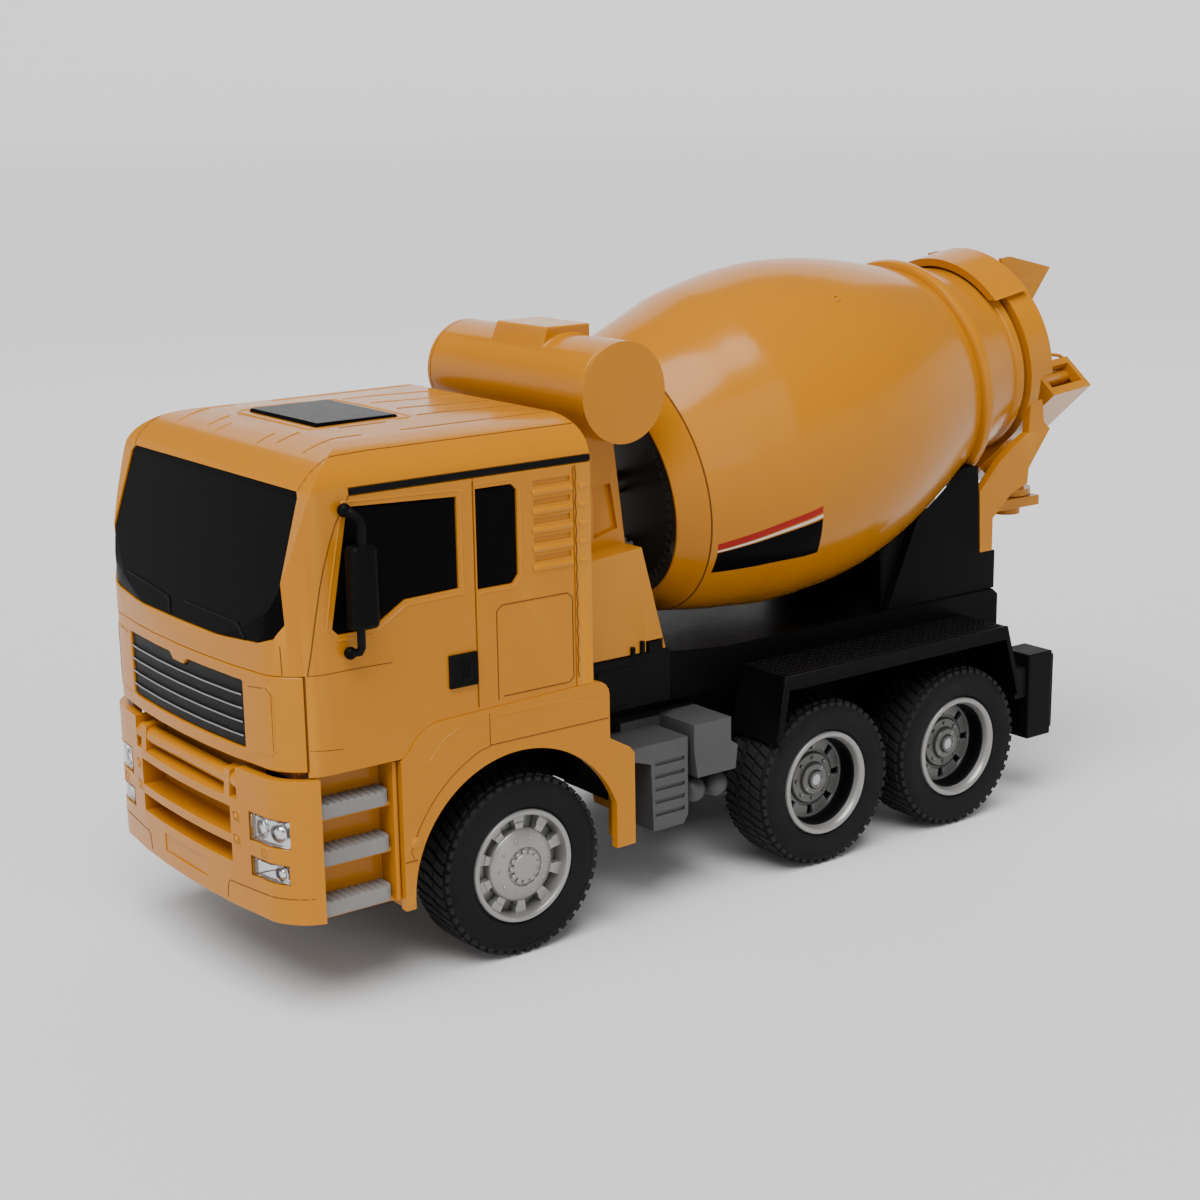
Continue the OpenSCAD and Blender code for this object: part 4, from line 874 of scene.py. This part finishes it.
def fender_lines(side, word):
    """Dark contour line of the flare, a painted shade in its crease; its joints and the screw boss in front
    of the wheel.
    """
    seam = seams_on(side, word)
    arch_r = 47.0
    arch = [(arch_r * math.cos(math.radians(a)), 0, AXLE_Z + arch_r * math.sin(math.radians(a)))
            for a in range(20, 70, 4)]
    # Dark line round the arch: painted shade in the flare's crease
    seam("fender_crease_shade", [(43.2, 0, 44.2)] + arch + [(13.9, 0, 74.8)], nodes=FENDER, r=0.16)
    seam("fender_joint", [(13.9, 0, 75.1), (-32.4, 0, 75.1)], nodes=FENDER, r=0.18)
    seam("fender_upright", [(13.9, 0, 87.6), (13.9, 0, 75)], nodes=FENDER, r=0.16)
    seam("fender_notch", [(39.6, 0, 43.6), (46.4, 0, 43.6)], nodes=FENDER, r=0.2)
    seam("fender_flare", [(36.6, 0, 74.0), (31, 0, 80.2), (24, 0, 83.4), (14, 0, 84.2), (-20, 0, 84.2),
                          (-31, 0, 83.4)], nodes=FENDER, r=0.3, slot="yellow_plastic", lift=-0.14)
    hit = lay([(42.2, 0, 49.2)], (0, -side, 0), FENDER)
    if hit:
        bm = bmesh.new()
        lathe(bm, [(2.0, -0.5), (2.0, 0.05), (1.7, 0.35), (1.0, 0.5), (0, 0.55)],
              axis_frame(hit[0], (0, side, 0), (1, 0, 0)), 28)
        put("fender_boss_" + word, bm, "truck", "yellow_plastic", angle=40)


def arch_lining(side, word):
    """Dark lining inside the wheel arch, deeper behind the wheel."""
    radius, top, deep_from = 43.3, 71.2, math.radians(96)
    turn = [math.radians(t) for t in range(14, 167, 4)]
    bm = bmesh.new()
    for y0, y1, angles in ((43.0, 59.7, turn), (24.0, 43.0, [t for t in turn if t > deep_from])):
        edges = []
        for y in (y0 * side, y1 * side):
            edges.append([bm.verts.new((radius * math.cos(t), y, min(AXLE_Z + radius * math.sin(t), top)))
                          for t in angles])
        for a, b in zip(zip(*edges), list(zip(*edges))[1:]):
            bm.faces.new((a[0], b[0], b[1], a[1]))
    put("arch_lining_" + word, bm, "truck", "black_plastic")


def mirror(side, word):
    """Moulded housing on a bent arm with two ball joints; gives back the housing."""
    tube("mirror_arm_high_" + word, mirrored([(63.5, 64.6, 157), (62.4, 66.2, 156.4), (60.6, 67.6, 154.6),
                                              (60.1, 68, 152.6), (60.0, 68, 145)], side), 1.45, "truck",
         "black_plastic", res=5)
    tube("mirror_arm_low_" + word, mirrored([(61.5, 68, 122.5), (61.5, 68, 116), (61.9, 67.4, 114.6),
                                             (63.5, 64.8, 114)], side), 1.3, "truck", "black_plastic", res=5)
    bm = bmesh.new()
    vs = box(bm, (56.1, 64.8 if side > 0 else -71.3, 121.6), (65.3, 71.3 if side > 0 else -64.8, 146.9))
    for v in vs:
        if v.co.z > 140:
            v.co.x -= 0.5 if v.co.x > 60 else 0
    housing = put("mirror_housing_" + word, bm, "truck", "black_plastic", bevel=1.9, segments=4)
    bm = bmesh.new()
    for x, z, r in ((63.5, 157, 2.1), (63.5, 114, 1.95)):
        ball = [(r * math.sin(math.radians(t)), -r * math.cos(math.radians(t))) for t in range(0, 181, 15)]
        lathe(bm, ball, axis_frame((x, 64.7 * side, z), (0, side, 0), (1, 0, 0)), 24)
    put("mirror_joints_" + word, bm, "truck", "black_plastic")
    return housing


def lamp_bulbs(side, word):
    """Bulbs and their rims on the reflectors, behind the lamp glass."""
    bm = bmesh.new()
    for y, z, r in ((45.6, 59.3, 3.0), (53.0, 59.3, 2.9), (53.4, 46.5, 2.3)):
        hit = lay([(0, y * side, z)], BACK, ("headlamp_reflectors",))
        if hit:
            f = axis_frame(hit[0], (1, 0.35 * side if y > 50 else 0.0, 0), (0, 1, 0))
            lathe(bm, [(r, -0.2), (r * 0.97, 0.25), (r * 0.75, 0.75), (r * 0.4, 1.02), (0, 1.1)], f, 32)
            rim = [(r * 1.12, -0.3), (r * 1.12, 0.45), (r * 1.02, 0.5), (r, -0.3)]
            lathe(bm, rim, f, 32, closed=True)
    put("lamp_bulbs_" + word, bm, "truck", "mirror_chrome", angle=40)


for side, word in SIDES:
    cab_parting_lines(side, word)
    window_frames(side, word)
    louvres(side, word)
    roof_ribs(side, word)
    cab_front_lines(side, word)
    bumper_lines(side, word)
    fender_lines(side, word)
    arch_lining(side, word)
    right_housing = mirror(side, word)
    lamp_bulbs(side, word)
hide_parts("mirrors")

# Dark boxes behind the joints at the cab's front corners: painted shade that shows through the gaps
bm = bmesh.new()
for side in (1, -1):
    y = sorted((57.0 * side, 58.6 * side))
    box(bm, (72.0, y[0], 77.8), (79.5, y[1], 110.0))
    y = sorted((30.0 * side, 57.0 * side))
    box(bm, (74.0, y[0], 75.6), (80.0, y[1], 79.5))
put("cab_joint_shade_boxes", bm, "truck", "joint_and_shade_dark", bevel=0.2, segments=1)

# ---------- chute trim ----------

CHUTE = (Matrix.Translation((CHUTE_PIN_X, 0, 0)) @ Matrix.Rotation(CHUTE_YAW, 4, "Z")
         @ Matrix.Translation((0, 0, CHUTE_HINGE_Z)) @ Matrix.Rotation(-CHUTE_PITCH, 4, "Y"))
SCREW_HOLES = [CHUTE @ Matrix.Translation((x, -CHUTE_HALF_W, z)) @ Matrix.Rotation(math.radians(90), 4, "X")
               for x, z in ((38.8, 13.4), (16.4, 7.6))]
ROD_R, ROD_HALF = 2.9, 14.2

# Rod across the trough and the rims of the two screw holes
bm = bmesh.new()
rod = CHUTE @ Matrix.Translation((38.2, 0, 14.2)) @ Matrix.Rotation(math.radians(-90), 4, "X")
lathe(bm, [(0, -ROD_HALF), (ROD_R, -ROD_HALF), (ROD_R, ROD_HALF), (0, ROD_HALF)], rod, 40)
for hole in SCREW_HOLES:
    lathe(bm, [(1.5, -0.6), (1.5, 0.15), (1.8, 0.35), (2.2, 0.2), (2.3, -0.3)], hole, 32)
put("chute_rod", bm, "swing_chute", "yellow_plastic", bevel=0.1, segments=1)
bm = bmesh.new()
for hole in SCREW_HOLES:
    lathe(bm, [(1.52, -0.25), (1.52, 0.08), (0.9, 0.1), (0.75, -0.1), (0, -0.1)], hole, 32)
put("chute_screws", bm, "swing_chute", "joint_and_shade_dark")
stay = [(42.8, 15.6, 19.2), (43.0, 13.6, 21.4), (43.0, -3.0, 25.2), (42.6, -6.5, 24.6), (42.0, -9.5, 19.0)]
tube("chute_stay_long", [CHUTE @ Vector(v) for v in stay], 0.75, "swing_chute", "yellow_plastic", res=4)

# ---------- grille and wipers ----------

# Four bright bars over the black mesh
BAR_HALF = 38.0
for k, z in enumerate((86.7, 91.0, 95.3, 99.6)):
    line(f"grille_bar_{k}", [(0, -BAR_HALF, z), (0, BAR_HALF, z)], BACK, ("grille",), 0.24,
         "silver_plastic", lift=0.02)

# Each wiper rests on the windshield: the blade's foot and tip and the arm's pivot, as (y, z)
GLASS = ("windshield",)
for k, (foot, tip, pivot) in enumerate((((-41, 124.0), (-9, 121.2), (-6.5, 116.6)),
                                        ((2, 121.8), (37.5, 121.6), (41, 117.4)))):
    y, z = tip
    line(f"wiper_blade_{k}", [(0, *foot), (0, y, z)], BACK, GLASS, 0.36, "black_plastic", lift=0.1)
    line(f"wiper_arm_{k}", [(0, y - 2.5, z - 0.2), (0, y, z - 0.6), (0, *pivot)], BACK, GLASS, 0.45,
         "black_plastic", lift=0.1)

# ---------- rear fenders: tread plate ----------

TREAD_TOP = 74.12
TREAD_X, TREAD_Y = (-219, 2.93, 37), (40.6, 2.6, 7)      # first bar, pitch and count
BAR_L, BAR_W = 1.05, 0.26                                # half length and half width of a bar
for side, word in SIDES:
    bm = bmesh.new()
    for i in range(TREAD_X[2]):
        for j in range(TREAD_Y[2]):
            c = Vector((TREAD_X[0] + i * TREAD_X[1], (TREAD_Y[0] + j * TREAD_Y[1]) * side, TREAD_TOP))
            slant = Matrix.Rotation(math.radians(40 if (i + j) % 2 else -40), 3, "Z")
            box(bm, (c.x - BAR_L, c.y - BAR_W, TREAD_TOP - 0.32), (c.x + BAR_L, c.y + BAR_W, TREAD_TOP + 0.2),
                slant, c)
    put("tread_plate_" + word, bm, "truck", "black_plastic", bevel=0.1, segments=1)
    outer_lip = [(-107.2, 61.4, 51.5), (-111.2, 61.4, 73.9), (-221.9, 61.4, 73.9), (-229.9, 61.4, 47)]
    inner_lip = [(-113, 58.9, 74.0), (-220.5, 58.9, 74.0)]
    tube("fender_lip_" + word, mirrored(outer_lip, side), 0.45, "truck", "black_plastic")
    tube("fender_lip_inner_" + word, mirrored(inner_lip, side), 0.35, "truck", "black_plastic")

# ---------- deck fittings ----------

for side, word in SIDES:
    bm = bmesh.new()
    for low, high in (((-72.6, 38.2, 80), (-66.8, 40.8, 90.0)), ((-64.9, 38.4, 84), (-63.3, 41.2, 91)),
                      ((-60.8, 38.4, 84), (-59.2, 41.2, 89.5)), ((-42, 37.6, 84), (-38.6, 41.6, 89.4)),
                      ((-58, 39.8, 70), (-44, 41.4, 83.4))):
        y = sorted((low[1] * side, high[1] * side))
        box(bm, (low[0], y[0], low[2]), (high[0], y[1], high[2]))
    put("deck_brackets_" + word, bm, "truck", "black_plastic", bevel=0.35, segments=2)
